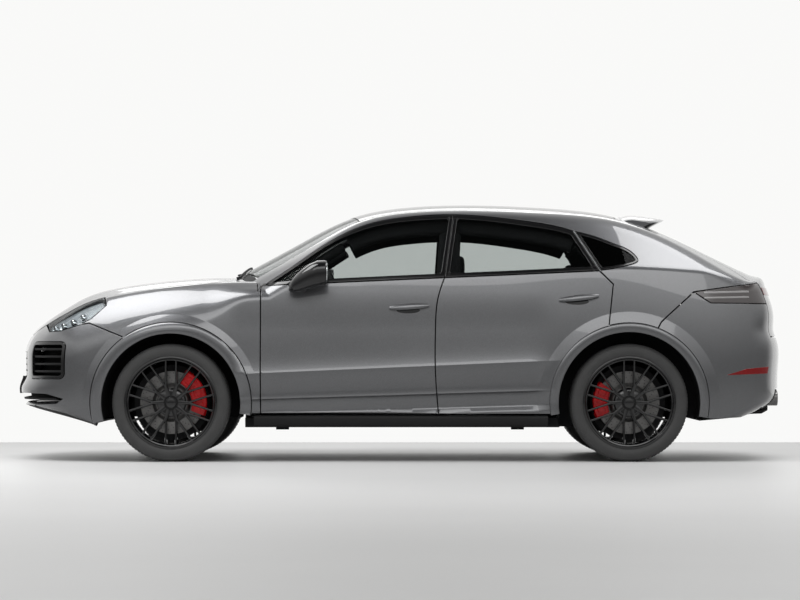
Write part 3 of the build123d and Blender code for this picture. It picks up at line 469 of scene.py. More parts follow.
def shaded(piece, angle=35):
    """Smooth shading that keeps edges sharper than an angle."""
    piece.data.polygons.foreach_set("use_smooth", [True] * len(piece.data.polygons))
    piece.data.set_sharp_from_angle(angle=math.radians(angle))
    return piece


def add_piece(name, shape, body, slot, material, replaced=None, angle=35):
    """A finished piece from a shape of points and faces."""
    return finish_piece(shaded(new_piece(name, *shape), angle), body, slot, material, replaced)


def loft(rows):
    """A closed skin over a row of closed sections with the same number of points, capped at both ends."""
    rows = np.asarray(rows, float)
    steps, count = rows.shape[:2]
    index = np.arange(steps * count).reshape(steps, count)
    beside = np.roll(index, -1, axis=1)
    quads = np.stack([index[:-1], beside[:-1], beside[1:], index[1:]], -1).reshape(-1, 4)
    points = rows.reshape(-1, 3)
    a, b, c, d = (points[quads[:, k]] - points.mean(0) for k in range(4))
    volume = np.sum(np.cross(a, b) * c) + np.sum(np.cross(a, c) * d)
    faces = quads.tolist() + [index[0].tolist()[::-1], index[-1].tolist()]
    return points, faces if volume > 0 else [face[::-1] for face in faces]


def oval(half_u, half_v, count=20, power=2.6):
    """A rounded section: an ellipse at power 2, and squarer above that."""
    turn = np.linspace(0, 2 * math.pi, count, endpoint=False)
    bend = 2 / power
    u = np.sign(np.cos(turn)) * np.abs(np.cos(turn))**bend * half_u
    v = np.sign(np.sin(turn)) * np.abs(np.sin(turn))**bend * half_v
    return np.stack([u, v], -1)


def section_at(middle, half_u, half_v, count=20, power=2.6, normal=0):
    """A rounded section about a point, square to one axis, with its halves along the other two."""
    return np.insert(oval(half_u, half_v, count, power), normal, 0, axis=1) + middle


def side_pieces(name, node, body, slot, material, shape, angle=35):
    """A left-hand shape and its mirror image as two pieces, each in place of its CAD node."""
    for side, placed in (("l", shape), ("r", mirror_shape(shape))):
        add_piece(f"{name}_{side}", placed, body.format(side), slot, material, node and node.format(side), angle)


# Materials for the body
# The paint is a dark grey metallic base with aluminium flakes under a clear lacquer.
class Shade:
    """A shader node's output that can be used in plain arithmetic."""

    def __init__(self, tree, socket):
        self.tree, self.socket = tree, socket

    def node(self, kind, inputs=None, output=0, **settings):
        """Adds a node with its settings first, then its inputs' values or links, and gives one of its outputs."""
        made = self.tree.nodes.new(kind)
        for key, value in settings.items():
            setattr(made, key, value)
        for key, value in (inputs or {}).items():
            if isinstance(value, Shade):
                self.tree.links.new(value.socket, made.inputs[key])
            else:
                made.inputs[key].default_value = value
        return Shade(self.tree, made.outputs[output])

    def math(self, operation, other=0.0, swap=False):
        """One Math node on this value and another."""
        pair = (other, self) if swap else (self, other)
        return self.node("ShaderNodeMath", {0: pair[0], 1: pair[1]}, operation=operation)

    def __add__(self, other):
        return self.math("ADD", other)

    def __sub__(self, other):
        return self.math("SUBTRACT", other)

    def __mul__(self, other):
        return self.math("MULTIPLY", other)

    def __radd__(self, other):
        return self.math("ADD", other)

    def __rsub__(self, other):
        return self.math("SUBTRACT", other, swap=True)

    def __rmul__(self, other):
        return self.math("MULTIPLY", other)

    def spread(self, low, high):
        """The value stretched so that low becomes 0 and high becomes 1."""
        return self.node("ShaderNodeMapRange", {"Value": self, "From Min": low, "From Max": high})

    def mix(self, first, second):
        """A colour between two, by this value."""
        return self.node("ShaderNodeMix", {0: self, 6: first, 7: second}, output=2, data_type="RGBA")


def start_material(name):
    """A new material, its surface shader and its Object coordinates."""
    material = bpy.data.materials.new(name)
    material.use_nodes = True
    tree = material.node_tree
    shader = tree.nodes["Principled BSDF"]
    place = tree.nodes.new("ShaderNodeTexCoord")
    return material, shader, Shade(tree, place.outputs["Object"])


def drive(shader, **inputs):
    """Sets or links a surface shader's inputs by name."""
    for key, value in inputs.items():
        socket = shader.inputs[key.replace("_", " ")]
        if isinstance(value, Shade):
            value.tree.links.new(value.socket, socket)
        else:
            socket.default_value = value


def noise(place, scale, detail=2.0, rough=0.5):
    """Cloudy noise over an object, about 0 to 1."""
    return place.node("ShaderNodeTexNoise", {"Vector": place, "Scale": scale, "Detail": detail, "Roughness": rough})


def bumped(height, strength, distance=0.001):
    """A normal that follows a height."""
    return height.node("ShaderNodeBump", {"Height": height, "Strength": strength, "Distance": distance})


PAINT_DARK = (0.070, 0.071, 0.075, 1)
PAINT_LIGHT = (0.130, 0.132, 0.138, 1)


def make_paint():
    """Metallic base colour with flakes that glint, under lacquer."""
    material, shader, place = start_material("graphite_paint")
    flakes = place.node("ShaderNodeTexVoronoi", {"Vector": place, "Scale": 900.0}, output=1)
    glint = flakes.node("ShaderNodeSeparateColor", {0: flakes})
    cloud = noise(place, 2.0)
    drive(shader, Base_Color=(glint * 0.8 + cloud * 0.2).mix(PAINT_DARK, PAINT_LIGHT), Metallic=0.82,
          Roughness=(0.30 + 0.10 * glint), Normal=bumped(glint, 0.10, 0.0002))
    drive(shader, Coat_Weight=1.0, Coat_Roughness=0.03)
    return material


def darker(colour, share):
    """A colour with less light in it."""
    return tuple(part * share for part in colour[:3]) + (1,)


def make_gloss(name, colour, roughness=0.08, shine=0.5):
    """Hard smooth plastic or enamel. Shine is how strongly it mirrors."""
    material, shader, place = start_material(name)
    cloud = noise(place, 30.0, 4.0)
    drive(shader, Base_Color=cloud.mix(darker(colour, 0.8), colour),
          Roughness=cloud * 0.05 + roughness)
    drive(shader, Specular_IOR_Level=shine, Coat_Weight=shine * 0.5, Coat_Roughness=0.04)
    return material


def make_grained(name, colour, roughness=0.55, scale=700.0, strength=0.25):
    """Moulded plastic with a fine grain."""
    material, shader, place = start_material(name)
    grain = place.node("ShaderNodeTexVoronoi", {"Vector": place, "Scale": scale})
    cloud = noise(place, 9.0, 3.0)
    drive(shader, Base_Color=cloud.mix(darker(colour, 0.75), colour),
          Roughness=cloud * 0.15 + roughness, Normal=bumped(grain, strength, 0.0006))
    drive(shader, Specular_IOR_Level=0.25)
    return material


def make_metal(name, dark, light, scale, detail, roughness, bump, metallic=1.0):
    """Bare metal, cloudy in colour. Roughness is its least value and its spread, bump its strength and depth."""
    material, shader, place = start_material(name)
    cloud = noise(place, scale, detail)
    drive(shader, Base_Color=cloud.mix(dark, light), Metallic=metallic,
          Roughness=cloud * roughness[1] + roughness[0], Normal=bumped(cloud, *bump))
    return material


def make_glass(name, colour, sheen):
    """Thin window glass, clear with a tint. Sheen is how much of its surface shows face on; at a slant all does."""
    material, shader, place = start_material(name)
    tree = material.node_tree
    clear = tree.nodes.new("ShaderNodeBsdfTransparent")
    clear.inputs["Color"].default_value = colour
    blend = tree.nodes.new("ShaderNodeMixShader")
    cloud = noise(place, 3.0)
    drive(shader, Base_Color=cloud.mix((0.004, 0.005, 0.005, 1), (0.010, 0.011, 0.011, 1)), Roughness=0.01)
    drive(shader, IOR=1.5)
    edge = place.node("ShaderNodeLayerWeight", {"Blend": 0.5}, output=1).math("POWER", 5.0)
    amount = edge * (0.96 - sheen) + (0.04 + sheen)
    tree.links.new(amount.socket, blend.inputs[0])
    tree.links.new(clear.outputs[0], blend.inputs[1])
    tree.links.new(shader.outputs[0], blend.inputs[2])
    tree.links.new(blend.outputs[0], tree.nodes["Material Output"].inputs["Surface"])
    return material


paint = make_paint()
gloss_black = make_gloss("gloss_black", (0.004, 0.004, 0.0045, 1), shine=0.4)
black_plastic = make_grained("black_plastic", (0.009, 0.009, 0.0095, 1))
side_glass = make_glass("side_glass", (0.85, 0.868, 0.862, 1), 0.02)
dark_glass = make_glass("dark_glass", (0.10, 0.105, 0.105, 1), 0.05)

# Side doors
# Pressed steel skins folded over the doors' inner frames, with two pressed lines and a blade along the foot.
DOOR_FRONT = 0.8825
DOOR_BOTTOM = 0.296
DOOR_FOOT = (DOOR_FRONT, DOOR_BOTTOM)
BELT = ((0.8825, 1.1127), (-0.283, 1.1645), (-1.2605, 1.208))
DOOR_MEET = ((-0.244, 0.296), (-0.222, 0.630), (-0.224, 0.833), (-0.241, 1.035), (-0.283, 1.1645))
DOOR_MEET_TOP = (-0.345, 1.575)
DOOR_TOP = ((0.8825, 1.110), (0.7045, 1.226), (0.4975, 1.371), (0.3285, 1.464), (0.156, 1.525), (-0.015, 1.555),
            DOOR_MEET_TOP, (-0.557, 1.562), (-0.8125, 1.530), (-1.0705, 1.478), (-1.1075, 1.466))
REAR_ARCH = 0.500
meet = curved(DOOR_MEET)
crease_x = np.arange(-1.0, 1.05, 0.012)
press_lines = [trace("side", np.stack([crease_x, height(crease_x) + lift], -1))
               for height in (crease_height, sill_height)
               for lift in (-0.012, -0.006, -0.002, 0.002, 0.006, 0.014)]
press_lines += [trace("side", np.stack([crease_x, blade_height(crease_x) - drop], -1))
                for drop in (0.0, 0.018, 0.037, 0.055)]
press_lines += [trace("side", round_wheel(x, radius + lift, 170, 10))
                for x, radius in ((FRONT_X, FRONT_FLARE), (FRONT_X, 0.495), (REAR_X, REAR_FLARE), (REAR_X, 0.497))
                for lift in (-0.003, 0.003)]
both_press_lines = press_lines + [line * (1, -1, 1) for line in press_lines]
front_lower = outline(("side", meet), ("side", (BELT[1], BELT[0])), ("side", (BELT[0], DOOR_FOOT)),
                      ("side", (DOOR_FOOT, DOOR_MEET[0])))
panel_pair("door_skin_front", "door_front_{}", "door_front_{}", "paint", paint, "barrel", [front_lower],
           depth=0.045, lines=press_lines)
REAR_BACK = ((-1.2605, 1.208), (-1.3485, 1.121), (-1.3185, 0.858))
arch_start = math.degrees(math.atan2(REAR_BACK[-1][1] - AXLE_Z, REAR_BACK[-1][0] - REAR_X))
arch_stop = math.degrees(math.asin((DOOR_BOTTOM - AXLE_Z) / REAR_ARCH))
rear_edge = round_wheel(REAR_X, REAR_ARCH, arch_start, arch_stop)
rear_lower = outline(("side", (rear_edge[-1], DOOR_MEET[0])), ("side", meet), ("side", (BELT[1], BELT[2])),
                     ("side", REAR_BACK), ("side", rear_edge))
panel_pair("door_skin_rear", "door_rear_{}", "door_rear_{}", "paint", paint, "barrel", [rear_lower],
           depth=0.045, lines=press_lines)

# Door windows and frames
# Toughened glass that drops into the door, behind a gloss black frame clipped round the opening.
front_top = curved(DOOR_TOP[:7])
rear_top = curved(DOOR_TOP[6:])
front_window = outline(("side", (BELT[0], BELT[1])), ("side", (BELT[1], DOOR_MEET_TOP)), ("side", front_top[::-1]))
rear_window = outline(("side", (BELT[1], BELT[2])), ("side", (BELT[2], DOOR_TOP[-1])), ("side", rear_top[::-1]),
                      ("side", (DOOR_MEET_TOP, BELT[1])))
FRAME_BAND = 0.028
GLASS_LAP = 0.006


def window_hole(loop, view, band):
    """A window's opening, narrower than its frame by a band."""
    inner = shrunk(flat(view, loop), band)
    return cast(*rays(view, inner[:, 0], inner[:, 1]))


for place, loop in (("front", front_window), ("rear", rear_window)):
    hole = window_hole(loop, "barrel", FRAME_BAND)
    panel_pair(f"window_frame_{place}", None, f"door_{place}_{{}}", "gloss_black", gloss_black, "barrel",
               [loop, hole], gap=0.002, depth=0.03, grid=0.02)
    panel_pair(f"door_window_{place}", f"door_glass_{place}_{{}}", f"door_{place}_{{}}", "glass", side_glass,
               "barrel", [window_hole(loop, "barrel", FRAME_BAND - GLASS_LAP)], gap=0.0, depth=0.004, grid=0.03,
               sunk=0.008, edge=0.001)

# Door handles
# Painted pull handles, one to a door, each over a flat gloss black oval on the door: painted shade for the cup under
# the handle.
# Columns: door, front end and rear end of the handle as x and z, of the painted shade under it as middle x, middle z
# and half length
HANDLES = (("front", (0.066, 0.972), (-0.184, 0.988), (-0.052, 0.958, 0.075)),
           ("rear", (-1.005, 1.022), (-1.255, 1.048), (-1.118, 1.012, 0.075)))
for place, (front_x, front_z), (rear_x, rear_z), (shade_x, shade_z, shade_half) in HANDLES:
    rows = []
    for share in np.linspace(0, 1, 25):
        x, z = front_x + (rear_x - front_x) * share, front_z + (rear_z - front_z) * share
        swell = math.sin(math.pi * min(max(share * 0.94 + 0.03, 0), 1))
        middle = cast(*rays("side", np.array([x]), np.array([z])))[0] + (0, 0.004 + 0.020 * swell**0.5, 0)
        section = oval(0.009, 0.006 + 0.013 * swell**0.6, 16, 2.3)
        rows.append(middle + np.stack([0 * section[:, 0], section[:, 0] - section[:, 1] * 0.25, section[:, 1]], -1))
    side_pieces(f"handle_{place}", None, f"door_{place}_{{}}", "paint", paint, loft(rows))
    # A flat gloss black oval just proud of the door skin, which has no recess: painted shade under the handle.
    cup_shade = trace("side", oval(shade_half, 0.021, 40, 2.2) + (shade_x, shade_z))
    panel_pair(f"handle_cup_{place}", None, f"door_{place}_{{}}", "gloss_black", gloss_black, "barrel", [cup_shade], gap=0.0,
               depth=0.01, sunk=-0.0008, edge=0.001)

# Door mirrors
# Gloss black housings on short arms at the doors' front corners, with a mirror plate at the back.
# Columns: x, middle y, half width, low z, high z
MIRROR_SECTIONS = ((0.4600, 1.030, 0.083, 1.121, 1.264), (0.4700, 1.030, 0.090, 1.113, 1.270),
                   (0.5200, 1.030, 0.094, 1.104, 1.268), (0.5700, 1.027, 0.090, 1.092, 1.246),
                   (0.6200, 1.021, 0.081, 1.077, 1.211), (0.6600, 1.012, 0.067, 1.067, 1.175),
                   (0.6870, 1.003, 0.047, 1.067, 1.140), (0.7010, 0.997, 0.020, 1.081, 1.115))
mirror_rows = [section_at((x, y, (low + high) / 2), half, (high - low) / 2, 32, 2.7)
               for x, y, half, low, high in MIRROR_SECTIONS]
# Columns: x, y, z, half width, half height
ARM_SECTIONS = ((0.630, 0.880, 1.100, 0.060, 0.030), (0.635, 0.930, 1.096, 0.050, 0.022),
                (0.640, 0.970, 1.096, 0.048, 0.022), (0.640, 1.010, 1.100, 0.048, 0.026))
arm_rows = [section_at((x, y, z), half_x, half_z, 24, normal=1) for x, y, z, half_x, half_z in ARM_SECTIONS]
side_pieces("mirror_housing", "mirror_{}", "door_front_{}", "gloss_black", gloss_black,
            joined([loft(mirror_rows), loft(arm_rows)]), 50)
silver_material, silver_shader, silver_place = start_material("mirror_silver")
silver_tone = noise(silver_place, 5.0).mix((0.80, 0.82, 0.83, 1), (0.84, 0.85, 0.86, 1))
drive(silver_shader, Base_Color=silver_tone, Metallic=1.0, Roughness=0.02)
PLATE_Y, PLATE_Z = 1.030, 1.1925
silver_rows = [section_at((x, PLATE_Y, PLATE_Z), 0.074 * share, 0.062 * share, 32, 2.7)
               for x, share in ((0.4605, 1.0), (0.4580, 1.0), (0.4575, 0.97))]
side_pieces("mirror_plate", None, "door_front_{}", "gloss_black", silver_material, loft(silver_rows))

# Front fenders
# Pressed steel wings bolted to the body from the bonnet's edge down to the wheel arch.
FENDER_ARCH = 0.508
bonnet_half = curved([(2.4325, 0.0), (2.3700, 0.400), (2.2720, 0.600), (1.8975, 0.735), (1.1475, 0.770),
                      (0.9775, 0.735)], 0.014)
bonnet_side = bonnet_half[np.argmin(np.abs(bonnet_half[:, 0] - 1.878)):]
LAMP_LOW = ((1.8665, 0.99), (1.9575, 0.905), (2.0375, 0.864), (2.1555, 0.828), (2.235, 0.822))
BUMPER_SEAM = ((1.7255, 0.778), (1.9705, 0.877), LAMP_LOW[2])
PILLAR_FOOT = ((0.9775, 0.735), (0.9115, 0.770), (0.90, 0.895))
arch_from = math.degrees(math.atan2(BUMPER_SEAM[0][1] - AXLE_Z, BUMPER_SEAM[0][0] - FRONT_X))
arch_to = 180 - math.degrees(math.asin((DOOR_BOTTOM - AXLE_Z) / FENDER_ARCH))
fender_arch = round_wheel(FRONT_X, FENDER_ARCH, arch_from, arch_to)
fender = outline(
    ("side", fender_arch), ("side", (fender_arch[-1], DOOR_FOOT)), ("side", (DOOR_FOOT, (DOOR_FRONT, 1.110))),
    ("plan", PILLAR_FOOT[::-1]), ("plan", bonnet_side[::-1]), ("side", LAMP_LOW[:3]), ("side", BUMPER_SEAM[::-1]))
panel_pair("fender_skin", "fender_{}", "body", "paint", paint, "barrel", [fender], lines=press_lines)

# Body sides
# One pressing carries the windscreen pillar, the rail above the doors, the rear pillar and the rear quarter.
REAR_TRIM = 0.503
REAR_SEAM = ((-1.6275, 0.842), (-1.6505, 0.884), (-1.8595, 1.073))
TAIL_TOP = (REAR_SEAM[-1], (-2.255, 1.129))
GATE_EDGE = ((-2.25, 0.74), (-2.2075, 0.740), (-2.0875, 0.655))
ROOF_REAR, ROOF_FRONT, SCREEN_FOOT = (-1.3875, 0.520), (0.2625, 0.590), (0.9125, 0.690)
seam_turn = math.degrees(math.atan2(REAR_SEAM[0][1] - AXLE_Z, REAR_SEAM[0][0] - REAR_X))
quarter_window = curved([(-1.2705, 1.212), (-1.4555, 1.246), (-1.5075, 1.274), (-1.4795, 1.320), (-1.3775, 1.376),
                         (-1.2395, 1.431), (-1.1175, 1.464)])
quarter_loop = trace("side", np.concatenate([quarter_window, quarter_window[:1]]))[:-1]
side_loop = outline(
    ("side", curved(DOOR_TOP)), ("side", (DOOR_TOP[-1], REAR_BACK[0])), ("side", REAR_BACK),
    ("side", round_wheel(REAR_X, REAR_TRIM, arch_start, seam_turn)), ("side", REAR_SEAM), ("side", TAIL_TOP),
    ("rear", ((0.79, 1.131), (0.74, 1.133))),
    ("plan", (*GATE_EDGE, ROOF_REAR, ROOF_FRONT, SCREEN_FOOT, *PILLAR_FOOT)))
panel_pair("body_side_skin", "body_side_{}", "body", "paint", paint, "barrel", [side_loop, quarter_loop],
           lines=press_lines)
frame_hole = window_hole(quarter_loop, "barrel", 0.016)
panel_pair("quarter_frame", None, "body", "gloss_black", gloss_black, "barrel", [quarter_loop, frame_hole],
           gap=0.001, depth=0.02, grid=0.02)
quarter_points, quarter_faces, quarter_bends = pressed(
    "barrel", [window_hole(quarter_loop, "barrel", 0.010)], gap=0.0, depth=0.004, grid=0.03, sunk=0.006, edge=0.001)


def both_halves(points, faces, normals):
    """A left-hand shape and its mirror image as one mesh."""
    count = len(points)
    flip = np.array((1, -1, 1))
    other = [[index + count for index in face[::-1]] for face in faces]
    return np.concatenate([points, points * flip]), list(faces) + other, np.concatenate([normals, normals * flip])


finish_piece(new_piece("quarter_windows", *both_halves(quarter_points, quarter_faces, quarter_bends)), "body",
             "glass", dark_glass, "quarter_glass")

# Roof and windscreen
# A bonded dark glass panel over the seats, and a windscreen of laminated glass bonded in front of it.
ROOF_MIDDLE = (0.3405, 0.0)
SCREEN_EDGE = ((1.0305, 0.0), (0.9955, 0.400), SCREEN_FOOT)
roof_half = trace("plan", (ROOF_MIDDLE, ROOF_FRONT, ROOF_REAR, (ROOF_REAR[0], 0.0)))
panel_whole("roof_skin", "roof_panel", "body", "roof_glass", gloss_black, "plan", [mirrored(roof_half)], grid=0.03)
screen_half = trace("plan", (*SCREEN_EDGE, ROOF_FRONT, ROOF_MIDDLE))
panel_whole("windscreen_glass", "windscreen", "body", "glass", side_glass, "plan", [mirrored(screen_half)],
            depth=0.006, sunk=0.003, grid=0.03, edge=0.001)

# Bonnet and cowl
# A pressed lid hinged at the rear, and a grained plastic strip clipped between it and the windscreen.
bonnet_back = (PILLAR_FOOT[0], (1.0625, 0.400), (1.1005, 0.0))
bonnet_loop = np.concatenate([trace("plan", bonnet_half), trace("plan", bonnet_back)[1:]])
panel_whole("bonnet_skin", "bonnet", "bonnet", "paint", paint, "plan", [mirrored(bonnet_loop)], grid=0.02)
cowl_half = trace("plan", ((1.0945, 0.0), (1.0565, 0.400), (0.9715, 0.735), *SCREEN_EDGE[::-1]))
panel_whole("cowl_strip", "cowl", "body", "black_plastic", black_plastic, "plan", [mirrored(cowl_half)],
            sunk=0.012, grid=0.02)

# Wipers
# Two black arms on pivots in the cowl, each with a flat rubber blade lying on the windscreen's foot.
blade_parts = []
for line in (((1.045, 0.62), (1.020, 0.45), (0.985, 0.20), (0.975, -0.02)),
             ((1.060, 0.06), (1.045, -0.10), (0.998, -0.35), (0.955, -0.56))):
    path = trace("plan", curved(line, 0.03))
    lift = outward(path)
    for wide, high, above in ((0.006, 0.004, 0.011), (0.004, 0.005, 0.004)):
        section = oval(wide, high, 8, 4)
        rows = []
        for point, up in zip(path, lift):
            ahead = np.cross((0, 1, 0), up)
            rows.append(point + up * above + np.outer(section[:, 0], ahead) + np.outer(section[:, 1], up))
        blade_parts.append(loft(rows))
add_piece("wipers", joined(blade_parts), "body", "black_plastic", black_plastic)

# Headlamps
# A clear moulded cover with a black border, over a pale grey housing that holds four lamp units.
lens_clear = make_glass("lamp_lens", (0.90, 0.92, 0.93, 1), 0.04)
LAMP_TIP = 2.268
lamp_top_edge = bonnet_half[(bonnet_half[:, 0] < LAMP_TIP) & (bonnet_half[:, 0] > 1.876)]
lamp_loop = outline(("plan", lamp_top_edge), ("side", LAMP_LOW))
screen_glass = make_gloss("screen_glass", (0.004, 0.004, 0.005, 1), 0.05)
lamp_grey = make_gloss("lamp_grey", (0.50, 0.51, 0.52, 1), 0.25)
for name, node, slot, material, sunk, depth in (
        ("headlamp_lens", "headlamps", "lamp_lens", lens_clear, 0.001, 0.003),
        ("headlamp_housing", None, "lamp_lens", lamp_grey, 0.030, 0.01)):
    shell = both_halves(*pressed("nose", [lamp_loop], gap=0.002, depth=depth, sunk=sunk, grid=0.015, edge=0.001))
    finish_piece(new_piece(name, *shell), "body", slot, material, node)
lamp_border = pressed("nose", [lamp_loop, window_hole(lamp_loop, "nose", 0.008)], gap=0.002, depth=0.024, sunk=0.0045,
                      grid=0.02, edge=0.001)
finish_piece(new_piece("headlamp_border", *both_halves(*lamp_border)), "body", "lamp_lens", gloss_black)


def lathe(profile, steps=120):
    """A closed section of radius and place along the axle, turned about the Y axis."""
    profile = np.array(profile, float)
    turn = np.linspace(0, 2 * math.pi, steps, endpoint=False)
    points = np.stack([np.outer(np.cos(turn), profile[:, 0]), np.tile(profile[:, 1], (steps, 1)),
                       np.outer(np.sin(turn), profile[:, 0])], -1)
    index = np.arange(steps * len(profile)).reshape(steps, len(profile))
    ahead, beside = np.roll(index, -1, axis=0), np.roll(index, -1, axis=1)
    quads = np.stack([index, ahead, np.roll(ahead, -1, axis=1), beside], -1).reshape(-1, 4)
    area = np.sum(profile[:, 0] * np.roll(profile[:, 1], -1) - profile[:, 1] * np.roll(profile[:, 0], -1))
    return points.reshape(-1, 3), (quads if area < 0 else quads[:, ::-1]).tolist()


def aimed(shape, axis, place):
    """A shape drawn about the Y axis, turned to another axis and moved to a place."""
    turn = np.array(Vector((0, 1, 0)).rotation_difference(Vector(axis)).to_matrix())
    return np.asarray(shape[0]) @ turn.T + place, shape[1]


bezel = lathe([(0.017, 0.0), (0.026, 0.0), (0.0265, 0.022), (0.0245, 0.026), (0.0215, 0.022), (0.0185, 0.012)], 40)
eye = lathe([(0.0, 0.004), (0.0185, 0.004), (0.0180, 0.014), (0.0130, 0.020), (0.0070, 0.0225), (0.0, 0.0232)], 40)
LAMP_UNITS = ((2.205, 0.852), (2.145, 0.868), (2.080, 0.893), (2.015, 0.925))
LAMP_AIM = (0.86, 0.48, 0.16)
LAMP_DEPTH = 0.036
sockets = trace("side", LAMP_UNITS, 1.0)
sockets = sockets - outward(sockets) * LAMP_DEPTH
for name, shape, material in (("lamp_bezels", bezel, silver_material), ("lamp_eyes", eye, screen_glass)):
    units = [joined([aimed(shape, LAMP_AIM, place) for place in sockets])]
    add_piece(name, both_sides(units), "body", "lamp_lens", material)

# Front bumper
# A moulded and painted cover with a centre inlet, two side inlets and a lower slot, and a black chin below it.
def rounded_box(u_low, u_high, v_low, v_high, radius, spacing=0.012):
    """A closed outline with rounded corners."""
    corners = ((u_high, v_high, 0), (u_low, v_high, 90), (u_low, v_low, 180), (u_high, v_low, 270))
    middle = np.array(((u_low + u_high) / 2, (v_low + v_high) / 2))
    points = []
    for u, v, start in corners:
        centre = (u, v) - radius * np.sign((u, v) - middle)
        turn = np.radians(np.linspace(start, start + 90, 6))
        points.append(centre + radius * np.stack([np.cos(turn), np.sin(turn)], -1))
    points = np.concatenate(points)
    return divided(np.concatenate([points, points[:1]]), spacing)[:-1]


front_arch = round_wheel(FRONT_X, FENDER_ARCH, arch_from, math.degrees(math.asin((0.225 - AXLE_Z) / FENDER_ARCH)))
CHIN_LINE = ((0.0, 0.352), (0.62, 0.346), (0.80, 0.300), (0.97, 0.236))
bumper_half = outline(
    ("nose", (*CHIN_LINE, (1.0, 0.226))), ("side", front_arch[::-1]), ("side", BUMPER_SEAM), ("side", LAMP_LOW[2:]),
    ("plan", bonnet_half[bonnet_half[:, 0] > LAMP_TIP][::-1]))
SIDE_INLET = (0.555, 0.862, 0.522, 0.757)
CENTRE_INLET = (-0.43, 0.43, 0.47, 0.70)
LOWER_SLOT = ((0.0, 0.427), (0.60, 0.427), (0.74, 0.424), (0.845, 0.395), (0.80, 0.366), (0.62, 0.357), (0.0, 0.357))
side_inlet = trace("nose", rounded_box(*SIDE_INLET, 0.035))
centre_inlet = cast(*rays("front", *rounded_box(*CENTRE_INLET, 0.03).T))
lower_slot = mirrored(trace("nose", LOWER_SLOT))
inlets = [centre_inlet, lower_slot, side_inlet, side_inlet * (1, -1, 1)]
panel_whole("front_bumper_skin", "front_bumper", "body", "paint", paint, "nose", [mirrored(bumper_half)] + inlets,
            lines=both_press_lines)
chin_half = outline(("nose", CHIN_LINE), ("nose", ((0.97, 0.222), (0.0, 0.222))))
panel_whole("chin", None, "body", "black_plastic", black_plastic, "nose", [mirrored(chin_half)], gap=0.002,
            depth=0.012, sunk=0.003)
plate_loop = trace("nose", rounded_box(-0.26, 0.26, 0.425, 0.535, 0.008))
panel_whole("plate_holder", None, "body", "black_plastic", black_plastic, "nose", [plate_loop], gap=0.0, depth=0.02,
            sunk=-0.018)

# Front inlets
# Black moulded frames and slats clipped in behind the bumper. At the back is a sheet for the duct, made near-black,
# darker than the black plastic, as painted shade inside the inlets.
# Near-black and matt, darker than the black plastic: painted shade for the depth behind the inlets.
inlet_shade_black = make_grained("inlet_shade_black", (0.004, 0.004, 0.004, 1), 0.85)


def repeat_tree(name, extra, kind):
    """A node tree that sets real copies of a mesh on points, with the nodes of its inputs and of the copies."""
    tree = bpy.data.node_groups.new(name, "GeometryNodeTree")
    for label, socket in (("Geometry", "Geometry"), ("Count", "Int"), (extra, kind), ("Material", "Material")):
        tree.interface.new_socket(label, in_out="INPUT", socket_type=f"NodeSocket{socket}")
    tree.interface.new_socket("Geometry", in_out="OUTPUT", socket_type="NodeSocketGeometry")
    make, link = tree.nodes.new, tree.links.new
    given, result, copies = make("NodeGroupInput"), make("NodeGroupOutput"), make("GeometryNodeInstanceOnPoints")
    real, dressed = make("GeometryNodeRealizeInstances"), make("GeometryNodeSetMaterial")
    link(given.outputs["Geometry"], copies.inputs["Instance"])
    link(copies.outputs[0], real.inputs[0])
    link(real.outputs[0], dressed.inputs["Geometry"])
    link(given.outputs["Material"], dressed.inputs["Material"])
    link(dressed.outputs[0], result.inputs[0])
    return tree, given, copies


def row_tree():
    """A node tree that sets copies of a mesh in a straight row."""
    tree, given, copies = repeat_tree("set_in_a_row", "Step", "Vector")
    spots = tree.nodes.new("GeometryNodeMeshLine")
    tree.links.new(given.outputs["Count"], spots.inputs["Count"])
    tree.links.new(given.outputs["Step"], spots.inputs["Offset"])
    tree.links.new(spots.outputs[0], copies.inputs["Points"])
    return tree


row_nodes = row_tree()


def points_of(mesh):
    """A mesh's points as an array."""
    points = np.empty(len(mesh.vertices) * 3)
    mesh.vertices.foreach_get("co", points)
    return points.reshape(-1, 3)


def run_tree(tree, shape, **inputs):
    """What a node tree makes of a shape, as points and faces again."""
    seed = new_piece("seed", *shape)
    mesh = seed.data
    modifier = seed.modifiers.new("repeat", "NODES")
    modifier.node_group = tree
    names = {item.name: item.identifier for item in tree.interface.items_tree if item.in_out == "INPUT"}
    for key, value in inputs.items():
        modifier[names[key]] = value
    made = bpy.data.meshes.new_from_object(seed.evaluated_get(bpy.context.evaluated_depsgraph_get()))
    points, faces = points_of(made), [list(polygon.vertices) for polygon in made.polygons]
    bpy.data.objects.remove(seed)
    bpy.data.meshes.remove(mesh)
    bpy.data.meshes.remove(made)
    return points, faces


def row(shape, count, step_by, material):
    """Copies of a shape in a straight row."""
    return run_tree(row_nodes, shape, Count=count, Step=step_by, Material=material)


def slat(u_low, u_high, z, depth=0.045):
    """One slat across an inlet, just behind the skin."""
    loop = trace("nose", rounded_box(u_low, u_high, z - 0.0065, z + 0.0065, 0.003))
    return pressed("nose", [loop], gap=0.0, depth=depth, grid=0.02, sunk=0.012, edge=0.002)[:2]


